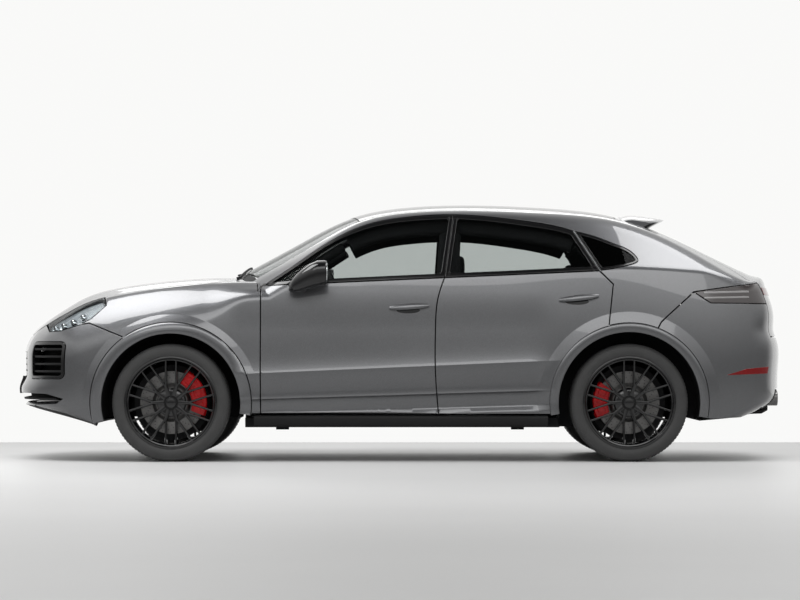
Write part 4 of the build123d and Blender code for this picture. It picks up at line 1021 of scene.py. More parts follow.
side_slats = row(slat(0.560, 0.857, 0.569), 4, (0, 0, 0.047), black_plastic)
centre_slats = row(slat(-0.395, 0.395, 0.5083), 5, (0, 0, 0.0383), black_plastic)
slats = joined([side_slats, mirror_shape(side_slats), centre_slats, slat(-0.80, 0.80, 0.392, 0.03)])
add_piece("inlet_slats", slats, "body", "black_plastic", black_plastic, "intake_grilles")
for name, loop, band in (("side", side_inlet, 0.020), ("centre", centre_inlet, 0.012)):
    hole = window_hole(loop, "nose", band)
    rim = pressed("nose", [loop, hole], gap=0.001, depth=0.055, sunk=-0.002, grid=0.02)
    # A near-black sheet sunk 85 mm behind each inlet: painted shade.
    shade_sheet = pressed("nose", [loop], gap=-0.008, depth=0.004, sunk=0.085, grid=0.02)
    for part, shape, material in (("frame", rim, gloss_black), ("shade_sheet", shade_sheet, inlet_shade_black)):
        whole = both_halves(*shape) if name == "side" else shape
        finish_piece(new_piece(f"{name}_inlet_{part}", *whole), "body", "black_plastic", material)
# A near-black sheet behind the lower slot: painted shade.
slot_shade_sheet = pressed("nose", [lower_slot], gap=-0.006, depth=0.004, sunk=0.06, grid=0.02)
finish_piece(new_piece("lower_slot_shade_sheet", *slot_shade_sheet), "body", "black_plastic", inlet_shade_black)

# Tailgate
# A pressed lid hinged at the roof with a bonded window, a lip at its edge and a light strip across the tail.
gate_half = outline(("plan", ((ROOF_REAR[0], 0.0), ROOF_REAR, *GATE_EDGE[::-1])),
                    ("rear", ((0.74, 1.15), (0.74, 0.79), (0.0, 0.79))))
gate_glass = trace("plan", ((-1.5575, 0.0), (-1.5575, 0.470), (-2.0675, 0.575), (-2.1825, 0.560), (-2.2175, 0.0)))
panel_whole("tailgate_skin", "tailgate", "tailgate", "paint", paint, "hoop",
            [mirrored(gate_half), mirrored(gate_glass)], grid=0.02)
panel_whole("tailgate_window", "tailgate_glass", "tailgate", "glass", dark_glass, "hoop", [mirrored(gate_glass)],
            gap=0.002, depth=0.004, sunk=0.003, grid=0.03, edge=0.001)
smoked_red = make_gloss("smoked_red", (0.12, 0.006, 0.006, 1))
strip_half = trace("rear", ((0.0, 1.105), (0.732, 1.105), (0.732, 1.055), (0.0, 1.055)))
panel_whole("light_strip", "light_bar", "tailgate", "red_lens", smoked_red, "hoop", [mirrored(strip_half)],
            gap=0.0, depth=0.02, sunk=-0.004, grid=0.02)

# Rear spoiler
# A painted wing bolted to the tailgate's top edge, swept forward at its ends.
SPOILER = ((-1.437, 1.505), (-1.432, 1.545), (-1.440, 1.580), (-1.485, 1.590), (-1.541, 1.592), (-1.640, 1.579),
           (-1.732, 1.562), (-1.738, 1.556), (-1.728, 1.549), (-1.650, 1.510), (-1.590, 1.470), (-1.560, 1.468),
           (-1.480, 1.500))
SPOILER_HALF = 0.495
SPOILER_MIDDLE = np.array((-1.520, 1.535))
spoiler_rows = []
for share in np.linspace(-1, 1, 41):
    taper = 1 - 0.30 * abs(share)**3 - 0.12 * abs(share)**16
    section = SPOILER_MIDDLE + (SPOILER - SPOILER_MIDDLE) * taper + (0.030 * share**2, -0.024 * share**2)
    spoiler_rows.append(np.insert(section, 1, SPOILER_HALF * share, axis=1))
add_piece("spoiler_wing", loft(spoiler_rows), "tailgate", "paint", paint, "spoiler")

# Rear bumper and tail lamps
# A moulded and painted cover with smoked lamps let into its top corners, and a black diffuser below.
TAIL_LOW = ((-2.262, 1.000), (-1.9675, 1.003), REAR_SEAM[-1])
tail_arch = round_wheel(REAR_X, REAR_TRIM, seam_turn, 180 - math.degrees(math.asin((0.275 - AXLE_Z) / REAR_TRIM)))
stern_half = outline(
    ("rear", ((0.0, 0.79), (0.74, 0.79), (0.74, 1.000), (0.79, 1.000))), ("side", TAIL_LOW), ("side", REAR_SEAM[::-1]),
    ("side", tail_arch), ("side", ((-1.96, 0.268), (-2.16, 0.272))),
    ("rear", ((0.745, 0.30), (0.66, 0.455), (0.0, 0.455))))
panel_whole("rear_bumper_skin", "rear_bumper", "body", "paint", paint, "stern", [mirrored(stern_half)],
            lines=both_press_lines)
tail_loop = outline(("side", TAIL_TOP), ("rear", ((0.79, 1.131), (0.745, 1.133), (0.745, 1.002), (0.79, 1.000))),
                    ("side", TAIL_LOW))
tail_shell = both_halves(*pressed("stern", [tail_loop], gap=0.002, depth=0.012, grid=0.014))
lens_smoke = make_gloss("lens_smoke", (0.050, 0.042, 0.042, 1), shine=0.5)
finish_piece(new_piece("tail_lamp_lens", *tail_shell), "body", "red_lens", lens_smoke, "tail_lamps")
bar_pale = make_gloss("lamp_bar", (0.30, 0.29, 0.29, 1), 0.15)
bars = []
for low_front, low_rear, high in ((1.062, 1.070, 0.013), (1.030, 1.036, 0.011)):
    loop = trace("side", ((-1.925, low_front), (-2.215, low_rear), (-2.215, low_rear + high),
                          (-1.925, low_front + high)))
    bars.append(both_halves(*pressed("stern", [loop], gap=0.0, depth=0.004, sunk=-0.0012, edge=0.001, grid=0.02))[:2])
add_piece("tail_lamp_bars", joined(bars), "body", "red_lens", bar_pale)
reflector = trace("side", ((-2.065, 0.546), (-2.335, 0.556), (-2.345, 0.600), (-2.190, 0.586)))
reflector_red = make_gloss("reflector_red", (0.22, 0.004, 0.005, 1), 0.12, 0.3)
reflector_shell = both_halves(*pressed("stern", [reflector], gap=0.0, depth=0.006, sunk=-0.002, grid=0.02))
finish_piece(new_piece("reflectors", *reflector_shell), "body", "red_lens", reflector_red)
diffuser_half = trace("rear", ((0.0, 0.451), (0.655, 0.451), (0.735, 0.30), (0.0, 0.30)))
panel_whole("diffuser", None, "body", "black_plastic", black_plastic, "stern", [mirrored(diffuser_half)], gap=0.002,
            sunk=0.005)
FIN = ((-2.40, 0.312), (-2.36, 0.290), (-2.10, 0.282), (-2.40, 0.430))
fin = loft([[(x, y, z) for x, z in FIN] for y in (-0.004, 0.004)])
fins = row(moved(fin, (0, -0.27, 0)), 7, (0, 0.09, 0), black_plastic)
tray_section = ((-2.33, 0.312), (-2.10, 0.268), (-1.92, 0.252), (-1.92, 0.262), (-2.10, 0.278), (-2.33, 0.322))
tray = loft([[(x, y, z) for x, z in tray_section] for y in np.linspace(-0.66, 0.66, 12)])
add_piece("rear_undertray", joined([fins, tray]), "body", "black_plastic", black_plastic)

# Exhaust
# Two silencers behind the diffuser with two pairs of dark polished end pipes.
exhaust_metal = make_metal("exhaust_metal", (0.10, 0.10, 0.105, 1), (0.20, 0.195, 0.19, 1), 60.0, 5.0, (0.18, 0.2),
                           (0.05, 0.0005))
tip = lathe([(0.048, 2.16), (0.048, 2.425), (0.0465, 2.430), (0.044, 2.430), (0.0425, 2.425), (0.042, 2.20),
             (0.020, 2.19), (0.020, 2.16)], 48)
tip = (np.stack([-tip[0][:, 1], tip[0][:, 0], tip[0][:, 2]], -1), tip[1])
silencer_rows = [section_at((x, 0.485, 0.410), 0.125 * share, 0.068 * share, 32, 3.0)
                 for x, share in ((-1.93, 0.80), (-1.945, 0.95), (-1.97, 1.0), (-2.16, 1.0), (-2.185, 0.95),
                                  (-2.20, 0.80))]
pipes = joined([moved(tip, (0, y, 0.395)) for y in (0.43, 0.54)] + [loft(silencer_rows)])
add_piece("exhaust_pipes", both_sides([pipes]), "body", "exhaust_metal", exhaust_metal, "exhaust")

# Wheel arch flares
# Painted mouldings clipped round each wheel opening, rolled under at the inside edge.
FLARE_FRONT = ((0.436, -0.030), (0.436, -0.004), (0.4385, 0.004), (0.446, 0.009), (0.462, 0.0125), (0.485, 0.0135),
               (0.500, 0.0125), (0.5055, 0.0105), (0.5075, 0.006), (0.5075, -0.012))


def flare(x, profile, start, stop):
    """One moulding: its section carried round the axle on the skin. Each section point is radius and height."""
    turns = np.radians(np.linspace(start, stop, 130))
    rows = []
    for radius, height in profile:
        where = np.stack([x + radius * np.cos(turns), AXLE_Z + radius * np.sin(turns)], -1)
        points = cast(*rays("side", where[:, 0], where[:, 1]))
        points[:, 1] += height
        rows.append(points)
    return loft(np.stack(rows, 1))


flare_rear = [(radius + 0.009 if radius < 0.47 else radius - 0.0045, height) for radius, height in FLARE_FRONT]
left_flares = [flare(FRONT_X, FLARE_FRONT, -15, 189), flare(REAR_X, flare_rear, -9, 191)]
add_piece("arch_flares", both_sides(left_flares), "body", "paint", paint, "arch_trims")

# Sill skirts
# Black mouldings screwed under the doors from wheel to wheel.
SKIRT = ((0.800, 0.290), (0.922, 0.290), (0.929, 0.283), (0.931, 0.272), (0.926, 0.240), (0.916, 0.224),
         (0.900, 0.217), (0.800, 0.216))
skirt_rows = []
for x in np.linspace(0.925, -0.935, 40):
    shift = half_width(x, 0.300) - 0.935
    skirt_rows.append([(x, y + (shift if y > 0.85 else 0), z) for y, z in SKIRT])
add_piece("sill_skirts", both_sides([loft(skirt_rows)]), "body", "black_plastic", black_plastic, "side_skirts")

# Tyres
# Low rubber tyres on the rims: rounded side walls, four grooves round the tread and blocks across both shoulders.
rubber_material, rubber_shader, rubber_place = start_material("tyre_rubber")
rubber_dust = noise(rubber_place, 14.0, 5.0)
drive(rubber_shader, Specular_IOR_Level=0.25)
drive(rubber_shader, Base_Color=rubber_dust.mix((0.040, 0.040, 0.040, 1), (0.062, 0.062, 0.062, 1)),
      Roughness=rubber_dust * 0.2 + 0.5, Normal=bumped(noise(rubber_place, 400.0, 3.0), 0.2, 0.0004))


def ring_tree():
    """A node tree that sets copies of a mesh round the Y axis."""
    tree, given, copies = repeat_tree("set_in_a_ring", "Start", "Float")
    make, link = tree.nodes.new, tree.links.new
    spots, index = make("GeometryNodePoints"), make("GeometryNodeInputIndex")
    share, turn, place = make("ShaderNodeMath"), make("ShaderNodeMath"), make("ShaderNodeCombineXYZ")
    share.operation, turn.operation = "DIVIDE", "MULTIPLY_ADD"
    turn.inputs[1].default_value = 2 * math.pi
    link(given.outputs["Count"], spots.inputs["Count"])
    link(index.outputs[0], share.inputs[0])
    link(given.outputs["Count"], share.inputs[1])
    link(share.outputs[0], turn.inputs[0])
    link(given.outputs["Start"], turn.inputs[2])
    link(turn.outputs[0], place.inputs["Y"])
    link(spots.outputs[0], copies.inputs["Points"])
    link(place.outputs[0], copies.inputs["Rotation"])
    return tree


ring_nodes = ring_tree()


def ring(shape, count, material, start=0.0):
    """Copies of a shape set round the Y axis."""
    return run_tree(ring_nodes, shape, Count=count, Start=start, Material=material)


def tyre_shape(half):
    """Rubber ring with grooves round it, and blocks cut across both shoulders."""
    tread = [(half * 0.80, 0.3690)]
    for middle in (0.50, 0.17, -0.17, -0.50):
        edge = half * middle
        tread += [(edge + 0.0055, 0.3715), (edge + 0.0040, 0.3645), (edge - 0.0040, 0.3645), (edge - 0.0055, 0.3715)]
    tread.append((-half * 0.80, 0.3690))
    wall = [(0.90, 0.3640), (0.955, 0.3540), (0.985, 0.3420), (1.0, 0.3270), (0.995, 0.3140), (0.975, 0.3060),
            (0.970, 0.3045), (0.945, 0.2985), (0.925, 0.2950), (0.88, 0.2900), (0.86, 0.2860)]
    right = [(half * share, radius) for share, radius in wall]
    left = [(-along, radius) for along, radius in right]
    profile = tread + left + right[::-1]
    carcass = lathe([(radius, along) for along, radius in profile], 144)
    lugs = []
    for sign in (1, -1):
        outer, inner = sign * half * 0.965, sign * half * 0.70
        face = [(0.3545, outer, -0.0100), (0.3545, outer, 0.0060), (0.3725, inner, 0.0130), (0.3725, inner, -0.0030)]
        foot = [(0.340, outer * 0.99, -0.0100), (0.340, outer * 0.99, 0.0060), (0.355, inner, 0.0130),
                (0.355, inner, -0.0030)]
        block = loft([face, foot])
        lugs.append(ring(block, 96, rubber_material, 0.02 * sign))
    return joined([carcass] + lugs)


# Columns: x of the axle, y of the left wheel's middle, half width of the tyre
WHEELS = {"front": (FRONT_X, 0.840, 0.1425), "rear": (REAR_X, 0.830, 0.1575)}


def at_wheel(shape, place):
    """A shape drawn about the Y axis with its outer side at +Y, set at the left wheel."""
    x, y, _ = WHEELS[place]
    return moved(shape, (x, y, AXLE_Z))


def wheel_pair(name, node, place, slot, material, shape, angle=35):
    """A shape drawn about the Y axis, set at the left and, mirrored, the right wheel."""
    side_pieces(f"{name}_{place}", node and f"{node}_{place}_{{}}", f"wheel_{place}_{{}}", slot, material,
                at_wheel(shape, place), angle)


for place, (_, _, half) in WHEELS.items():
    wheel_pair("tyre_rubber", "tyre", place, "rubber_tyre", rubber_material, tyre_shape(half))

# Rims
# Cast aluminium wheels painted gloss black: ten forked spokes, a deep barrel, five bolts and a plain cap.
rim_black = make_gloss("rim_black", (0.004, 0.004, 0.0045, 1), 0.06, 0.45)
bolt_steel = make_gloss("bolt_steel", (0.05, 0.05, 0.052, 1), 0.25)
SPOKE_LEAN = math.radians(11)


def beam(start, stop, start_section, stop_section):
    """A bar from one point to another, with a section of sideways and along-axle offsets at each end."""
    start, stop = np.array(start, float), np.array(stop, float)
    run = (stop - start) / np.linalg.norm(stop - start)
    sideways = np.array((-run[2], 0, run[0]))
    return loft([point + np.outer([s for s, _ in section], sideways) + np.outer([a for _, a in section], (0, 1, 0))
                 for point, section in ((start, start_section), (stop, stop_section))])


def spoke_section(width, depth, bevel=0.0025):
    """Half-round front edges and a back that is wider than the face."""
    half, back = width / 2, width / 2 + 0.003
    return [(half - bevel, 0.0), (half - 0.0007, -0.0007), (half, -bevel), (back, -depth), (-back, -depth),
            (-half, -bevel), (-half + 0.0007, -0.0007), (-half + bevel, 0.0)]


def rim_shape(half):
    """Barrel, spokes, hub, bolts and cap as one shape. The spoke faces follow the rim's width."""
    edge = half * 0.88
    face, lip = edge - 0.006, edge + 0.008
    barrel = lathe([(0.2900, lip), (0.2935, lip - 0.002), (0.2935, lip - 0.007), (0.2865, lip - 0.010), (0.2860, -edge),
                    (0.2925, -edge - 0.002), (0.2925, -edge - 0.008), (0.2700, -edge - 0.008), (0.2640, -half * 0.80),
                    (0.2600, 0.0), (0.2620, face - 0.040), (0.2640, face - 0.006), (0.2680, face),
                    (0.2740, face + 0.002), (0.2770, lip - 0.003), (0.2800, lip)], 144)
    root, inner = face - 0.012, face - 0.020
    fork = []
    for side in (-1, 1):
        tip = (0.2660 * math.cos(SPOKE_LEAN), face - 0.003, side * 0.2660 * math.sin(SPOKE_LEAN))
        middle = (0.110, root, 0.0015 * side)
        fork.append(beam(middle, tip, spoke_section(0.0115, 0.030), spoke_section(0.0105, 0.026)))
    fork.append(beam((0.045, inner, 0.0), (0.122, root - 0.0005, 0.0), spoke_section(0.030, 0.030),
                     spoke_section(0.014, 0.028)))
    spokes = ring(joined(fork), 10, rim_black)
    hub = lathe([(0.0, 0.040), (0.088, 0.040), (0.088, inner - 0.016), (0.080, inner - 0.010), (0.056, inner - 0.006),
                 (0.044, inner - 0.004), (0.042, inner + 0.002), (0.0, inner + 0.002)], 72)
    bolt = lathe([(0.0, 0.0), (0.0125, 0.0), (0.0125, 0.010), (0.0105, 0.013), (0.0060, 0.013), (0.0060, 0.008),
                  (0.0, 0.008)], 18)
    bolts = ring(moved(bolt, (0.064, inner - 0.012, 0.0)), 5, bolt_steel, math.radians(54))
    cap = lathe([(0.0, inner), (0.037, inner), (0.037, inner + 0.006), (0.0345, inner + 0.0085),
                 (0.030, inner + 0.0080), (0.026, inner + 0.0092), (0.012, inner + 0.0110), (0.0, inner + 0.0112)], 60)
    return joined([barrel, spokes, hub, bolts, cap])


for place, (_, _, half) in WHEELS.items():
    wheel_pair("rim_cast", "rim", place, "wheel_black", rim_black, rim_shape(half), 30)

# Brake discs
# Cast iron rings bolted to the hubs, with a groove round the edge and four rows of near-black dots on the face: painted
# shade for drilled holes.
iron_material = make_metal("disc_iron", (0.10, 0.10, 0.10, 1), (0.20, 0.195, 0.19, 1), 90.0, 6.0, (0.25, 0.25),
                           (0.1, 0.0005))
# Near-black flat dots laid on the disc face, not holes cut into it: painted shade where drilled holes would be dark.
hole_shade_material = make_grained("painted_hole_shade", (0.004, 0.004, 0.004, 1), 0.8)
disc_ring = lathe([(0.128, 0.026), (0.199, 0.026), (0.200, 0.025), (0.200, 0.014), (0.192, 0.013), (0.192, 0.006),
                   (0.200, 0.005), (0.200, -0.007), (0.199, -0.008), (0.105, -0.008), (0.105, 0.012),
                   (0.094, 0.030), (0.094, 0.040), (0.100, 0.040), (0.122, 0.024)], 120)
hole_dot = lathe([(0.0, 0.0), (0.0028, 0.0), (0.0028, 0.0006), (0.0, 0.0006)], 10)
hole_shade_dots = []
for number, radius in enumerate((0.142, 0.158, 0.174, 0.188)):
    hole_shade_dots.append(ring(moved(hole_dot, (radius, 0.0257, 0.0)), 24, hole_shade_material, math.radians(4 * number)))
for place in WHEELS:
    wheel_pair("disc_ring", "disc", place, "brake_iron", iron_material, disc_ring)
    wheel_pair("disc_hole_shade", None, place, "brake_iron", hole_shade_material, joined(hole_shade_dots))

# Brake calipers
# Red painted castings over the disc's edge: two halves joined by three bridges, with ribs on the outer face.
caliper_red = make_gloss("caliper_red", (0.72, 0.006, 0.010, 1), 0.25, 0.3)


def arc_block(radii, along, start, stop, steps=26, bevel=0.006):
    """A block bent round the axle with rounded edges."""
    low, high = radii
    near, far = along
    section = [(low + bevel, near), (high - bevel, near), (high, near + bevel), (high, far - bevel),
               (high - bevel, far), (low + bevel, far), (low, far - bevel), (low, near + bevel)]
    rows = []
    turns = np.radians(np.linspace(start, stop, steps))
    for number, turn in enumerate(turns):
        pinch = 1 - 0.10 * max(0, 1 - 3.0 * min(number, steps - 1 - number) / steps)
        middle_r, middle_a = (low + high) / 2, (near + far) / 2
        rows.append([((middle_r + (r - middle_r) * pinch) * math.cos(turn), middle_a + (a - middle_a) * pinch,
                      (middle_r + (r - middle_r) * pinch) * math.sin(turn)) for r, a in section])
    return loft(rows)


def caliper_shape(middle, span):
    """Inner and outer halves, three bridges over the disc and three ribs."""
    low, high = middle - span / 2, middle + span / 2
    halves = [arc_block((0.128, 0.226), along, low, high) for along in ((0.034, 0.060), (-0.045, -0.016))]
    bridges = [arc_block((0.208, 0.228), (-0.030, 0.050), start, stop)
               for start, stop in ((low, low + span * 0.16), (high - span * 0.16, high),
                                   (middle - span * 0.07, middle + span * 0.07))]
    ribs = [arc_block((0.150, 0.205), (0.052, 0.0635), middle + turn - span * 0.10, middle + turn + span * 0.10, 10)
            for turn in (-span * 0.28, 0.0, span * 0.28)]
    return joined(halves + bridges + ribs)


# The middle of each caliper and its span, in degrees from forward towards up
FRONT_CALIPER, REAR_CALIPER = (158, 88), (5, 62)
side_pieces("caliper_cast_front", "caliper_front_{}", "steer_{}", "caliper_paint", caliper_red,
            at_wheel(caliper_shape(*FRONT_CALIPER), "front"), 40)
rear_caliper = at_wheel(caliper_shape(*REAR_CALIPER), "rear")
add_piece("caliper_cast_rear", both_sides([rear_caliper]), "body", "caliper_paint", caliper_red, "calipers_rear", 40)

# Brake shields
# Thin pressed plates behind the discs, screwed to the knuckles and the rear axle to keep stones and water off.
shield_steel = make_grained("shield_steel", (0.012, 0.012, 0.013, 1), 0.6)
plate = lathe([(0.100, -0.020), (0.238, -0.020), (0.2385, -0.014), (0.237, -0.014), (0.2365, -0.0185),
               (0.100, -0.0185)])
side_pieces("brake_shield_front", None, "steer_{}", "steel", shield_steel, at_wheel(plate, "front"))
add_piece("brake_shields_rear", both_sides([at_wheel(plate, "rear")]), "body", "steel", shield_steel)

# Roof lining and pillar trims
# A dark woven lining under the roof, with grained covers along the door tops and on the middle and rear pillars.
lining = make_grained("roof_lining", (0.012, 0.012, 0.013, 1), 0.9, 900.0, 0.3)
lining_half = trace("plan", ((0.20, 0.0), (0.17, 0.555), (-1.28, 0.490), (-1.28, 0.0)))
panel_whole("roof_lining", None, "body", "upholstery", lining, "plan", [mirrored(lining_half)], gap=0.0, depth=0.012,
            sunk=0.040, grid=0.04)


def trim_run(line, inset, half_wide, half_thick):
    """A cover that follows a line seen from the side, inside the skin."""
    rows = []
    path = trace("side", line, 0.04)
    inward = -outward(path)
    for number, point in enumerate(path):
        run = path[min(number + 1, len(path) - 1)] - path[max(number - 1, 0)]
        run /= np.linalg.norm(run)
        across = np.cross(run, inward[number])
        section = oval(half_wide, half_thick, 12, 3)
        rows.append(point + inward[number] * inset + np.outer(section[:, 0], across) +
                    np.outer(section[:, 1], inward[number]))
    return loft(rows)


rail_line = curved([(x, z - 0.040) for x, z in DOOR_TOP[3:]], 0.04)
trims = [trim_run(rail_line, 0.085, 0.052, 0.030), trim_run(((-0.262, 0.62), (-0.322, 1.50)), 0.095, 0.070, 0.030),
         trim_run(((-1.20, 1.445), (-1.34, 1.30), (-1.42, 1.17)), 0.095, 0.090, 0.030),
         trim_run(((0.80, 1.150), (0.60, 1.285), (0.38, 1.415)), 0.075, 0.030, 0.025)]
add_piece("pillar_trims", both_sides(trims), "body", "upholstery", lining, angle=50)

# Door linings
# Grained panels clipped to the inside of each door, with an arm rest.
cabin_black = make_grained("cabin_black", (0.014, 0.014, 0.015, 1), 0.6, 800.0, 0.2)
for place, loop, arm_line in (("front", front_lower, ((0.55, 0.800), (0.10, 0.790), (-0.15, 0.800))),
                              ("rear", rear_lower, ((-0.42, 0.830), (-0.70, 0.830), (-0.90, 0.845)))):
    panel_pair(f"door_lining_{place}", None, f"door_{place}_{{}}", "upholstery", cabin_black, "barrel", [loop],
               gap=0.022, depth=0.035, sunk=0.046, grid=0.04)
    side_pieces(f"arm_rest_{place}", None, f"door_{place}_{{}}", "upholstery", cabin_black,
                trim_run(arm_line, 0.100, 0.030, 0.024), 60)

# Dashboard
# A foam-backed moulding screwed across the cabin, with a hood over the dials, two glass screens and air vents.
DASH = ((0.950, 0.830), (0.950, 1.050), (0.900, 1.088), (0.800, 1.104), (0.700, 1.102), (0.625, 1.084), (0.575, 1.045),
        (0.548, 1.000), (0.560, 0.900), (0.610, 0.835), (0.700, 0.795), (0.830, 0.800))
dash_rows = []
for y in np.linspace(-0.735, 0.735, 43):
    hood = 0.030 * math.exp(-((y - 0.37) / 0.17)**6)
    end = 1 - 0.10 * (abs(y) / 0.735)**12
    dash_rows.append([(0.76 + (x - 0.76 - (hood * 1.2 if 1.02 < z and x < 0.8 else 0)) * end, y,
                       0.95 + (z - 0.95) * end + (hood if z > 1.02 and x < 0.85 else 0)) for x, z in DASH])
add_piece("dash_moulding", loft(dash_rows), "body", "upholstery", cabin_black, "dashboard", 50)


def slab(centre, half_wide, half_high, thick, tilt):
    """A thin rounded plate that faces the seats, leaning back by a tilt in degrees."""
    up = np.array((math.sin(math.radians(tilt)), 0, math.cos(math.radians(tilt))))
    back = np.cross((0, 1, 0), up)
    section = oval(1, 1, 32, 7)
    rows = []
    for along, share in ((0.0, 0.985), (0.0015, 1.0), (thick, 1.0)):
        rows.append(np.array(centre) + np.outer(section[:, 0] * half_wide * share, (0, 1, 0)) +
                    np.outer(section[:, 1] * half_high * share, up) + back * along)
    return loft(rows)


screens = [slab((0.548, 0.0, 0.985), 0.150, 0.058, 0.03, 14), slab((0.572, 0.37, 1.070), 0.150, 0.036, 0.03, 20)]
add_piece("dash_screens", joined(screens), "body", "upholstery", screen_glass)
vent = row(slab((0.556, -0.60, 1.010), 0.050, 0.003, 0.03, 14), 5, (0.0025, 0, 0.011), black_plastic)
vents = [moved(vent, (0, y, 0)) for y in (0.0, 0.38, 0.83, 1.20)]
add_piece("dash_vents", joined(vents), "body", "upholstery", gloss_black)

# Steering wheel
# A leather-wrapped rim on three cast spokes with a padded boss in the middle.
STEER_PLACE = (0.3925, 0.370, 1.055)
STEER_TILT = math.radians(25)
STEER_AXIS = (-math.cos(STEER_TILT), 0, math.sin(STEER_TILT))
grip_turn = np.linspace(0, 2 * math.pi, 14, endpoint=False)
grip = lathe([(0.1795 + 0.0150 * math.cos(t), 0.0165 * math.sin(t)) for t in grip_turn], 96)
boss = lathe([(0.0, -0.030), (0.050, -0.030), (0.066, -0.010), (0.068, 0.008), (0.060, 0.020), (0.040, 0.026),
              (0.0, 0.028)], 48)
column = lathe([(0.0, -0.30), (0.034, -0.30), (0.040, -0.06), (0.030, -0.028), (0.0, -0.028)], 32)
spoke_rows = []
for radius, wide, thick, lift in ((0.045, 0.030, 0.010, 0.004), (0.10, 0.021, 0.008, -0.002),
                                  (0.150, 0.016, 0.006, -0.004), (0.180, 0.018, 0.006, 0.0)):
    section = oval(wide, thick, 16, 3)
    spoke_rows.append(np.stack([np.full(16, radius), section[:, 1] + lift, section[:, 0]], -1))
arm = loft(spoke_rows)
arms = []
for turn in (math.radians(90), math.radians(-90), math.radians(0)):
    spin = np.array(((math.cos(turn), 0, math.sin(turn)), (0, 1, 0), (-math.sin(turn), 0, math.cos(turn))))
    arms.append((arm[0] @ spin.T, arm[1]))
steering = aimed(joined([grip, boss, column] + arms), STEER_AXIS, STEER_PLACE)
add_piece("steering_wheel_rim", steering, "body", "grip", cabin_black, "steering_wheel", 45)

# Front seats
# Foam pads in black leather on a steel frame: a cushion and a back with raised sides, and a head rest on two posts.
leather = make_grained("seat_leather", (0.016, 0.016, 0.017, 1), 0.5, 420.0, 0.3)
SEAT_Y = 0.370


def puffed(name, shape, voxel=0.014, cap=0.010):
    """A stuffed cover: the shape remeshed, blown up as cloth by no more than a cap, and smoothed once."""
    piece = new_piece(name, *shape)
    scene = bpy.context.scene

    def baked():
        """The piece's mesh with its modifiers applied."""
        made = bpy.data.meshes.new_from_object(piece.evaluated_get(bpy.context.evaluated_depsgraph_get()))
        piece.modifiers.clear()
        piece.data = made
        return points_of(made)

    remesh = piece.modifiers.new("remesh", "REMESH")
    remesh.mode, remesh.voxel_size = "VOXEL", voxel
    before = baked()
    cloth = piece.modifiers.new("cloth", "CLOTH")
    cloth.settings.use_pressure = True
    cloth.settings.uniform_pressure_force = 4.0
    cloth.settings.effector_weights.gravity = 0.0
    cloth.point_cache.frame_end = 20
    for number in range(1, 21):
        scene.frame_set(number)
    move = baked() - before
    scene.frame_set(1)
    far = np.linalg.norm(move, axis=1, keepdims=True)
    after = before + move * np.minimum(1, cap / np.maximum(far, 1e-9))
    piece.data.vertices.foreach_set("co", after.ravel())
    piece.modifiers.new("smooth", "SUBSURF")
    baked()
    return shaded(piece, 80)


def padded_pair(name, shape, replaced=None):
    """A stuffed piece at the left and its mirror image at the right, as one mesh."""
    piece = puffed(name, shape)
    left = (points_of(piece.data), [list(polygon.vertices) for polygon in piece.data.polygons])
    bpy.data.objects.remove(piece)
    whole = add_piece(name, both_sides([left]), "body", "upholstery", leather, replaced, 80)


def seat_section(half):
    """A closed section from its half, whose points are x, distance from the seat's middle, z."""
    return [(x, SEAT_Y + y, z) for x, y, z in half] + [(x, SEAT_Y - y, z) for x, y, z in half[-2:0:-1]]


# Half sections from the middle outwards: sideways, and height above the seam
CUSHION = ((0.0, 0.0), (0.10, 0.002), (0.150, 0.018), (0.190, 0.042), (0.222, 0.040), (0.240, 0.010), (0.242, -0.080),
           (0.225, -0.130), (0.0, -0.135))
cushion_rows = [seat_section([(x, y * share, top + up) for y, up in CUSHION])
                for x, top, share in ((-0.205, 0.470, 0.88), (-0.190, 0.484, 0.97), (-0.05, 0.488, 1.0),
                                      (0.12, 0.500, 1.0), (0.22, 0.508, 0.98), (0.262, 0.495, 0.94),
                                      (0.275, 0.460, 0.88))]
padded_pair("seat_cushions", loft(cushion_rows))
BACK = ((0.0, 0.0), (0.10, 0.004), (0.150, 0.020), (0.190, 0.046), (0.220, 0.044), (0.238, 0.015), (0.235, -0.040),
        (0.200, -0.085), (0.0, -0.090))
back_rows = []
for z, share in ((0.525, 0.90), (0.545, 0.98), (0.70, 1.0), (0.90, 1.0), (1.02, 0.92), (1.10, 0.80), (1.135, 0.66),
                 (1.145, 0.55)):
    face = -0.215 - (z - 0.50) * 0.195
    back_rows.append(seat_section([(face + out * (1.0 if z < 1.0 else 0.7), y * share, z) for y, out in BACK]))
padded_pair("seat_backs", loft(back_rows), "front_seats")
rest_rows = [section_at((-0.382, SEAT_Y, z), 0.036 * share, 0.115 * share, 24, 3, 2)
             for z, share in ((1.170, 0.80), (1.180, 0.93), (1.215, 1.0), (1.270, 1.0), (1.300, 0.94), (1.312, 0.80))]
padded_pair("head_rests", loft(rest_rows))
post = lathe([(0.0, 0.0), (0.006, 0.0), (0.006, 0.075), (0.0, 0.075)], 12)
post = (post[0][:, [0, 2, 1]] + (-0.378, 0, 1.110), [face[::-1] for face in post[1]])
frame_rows = [section_at((x, SEAT_Y, (low + high) / 2), 0.215, (high - low) / 2, 16, 6)
              for x, low, high in ((-0.28, 0.255, 0.350), (-0.20, 0.250, 0.360), (0.20, 0.250, 0.370),
                                   (0.25, 0.255, 0.365))]
left_frame = [loft(frame_rows)] + [moved(post, (0, y, 0)) for y in (SEAT_Y - 0.06, SEAT_Y + 0.06)]
add_piece("seat_frames", both_sides(left_frame), "body", "upholstery", cabin_black)

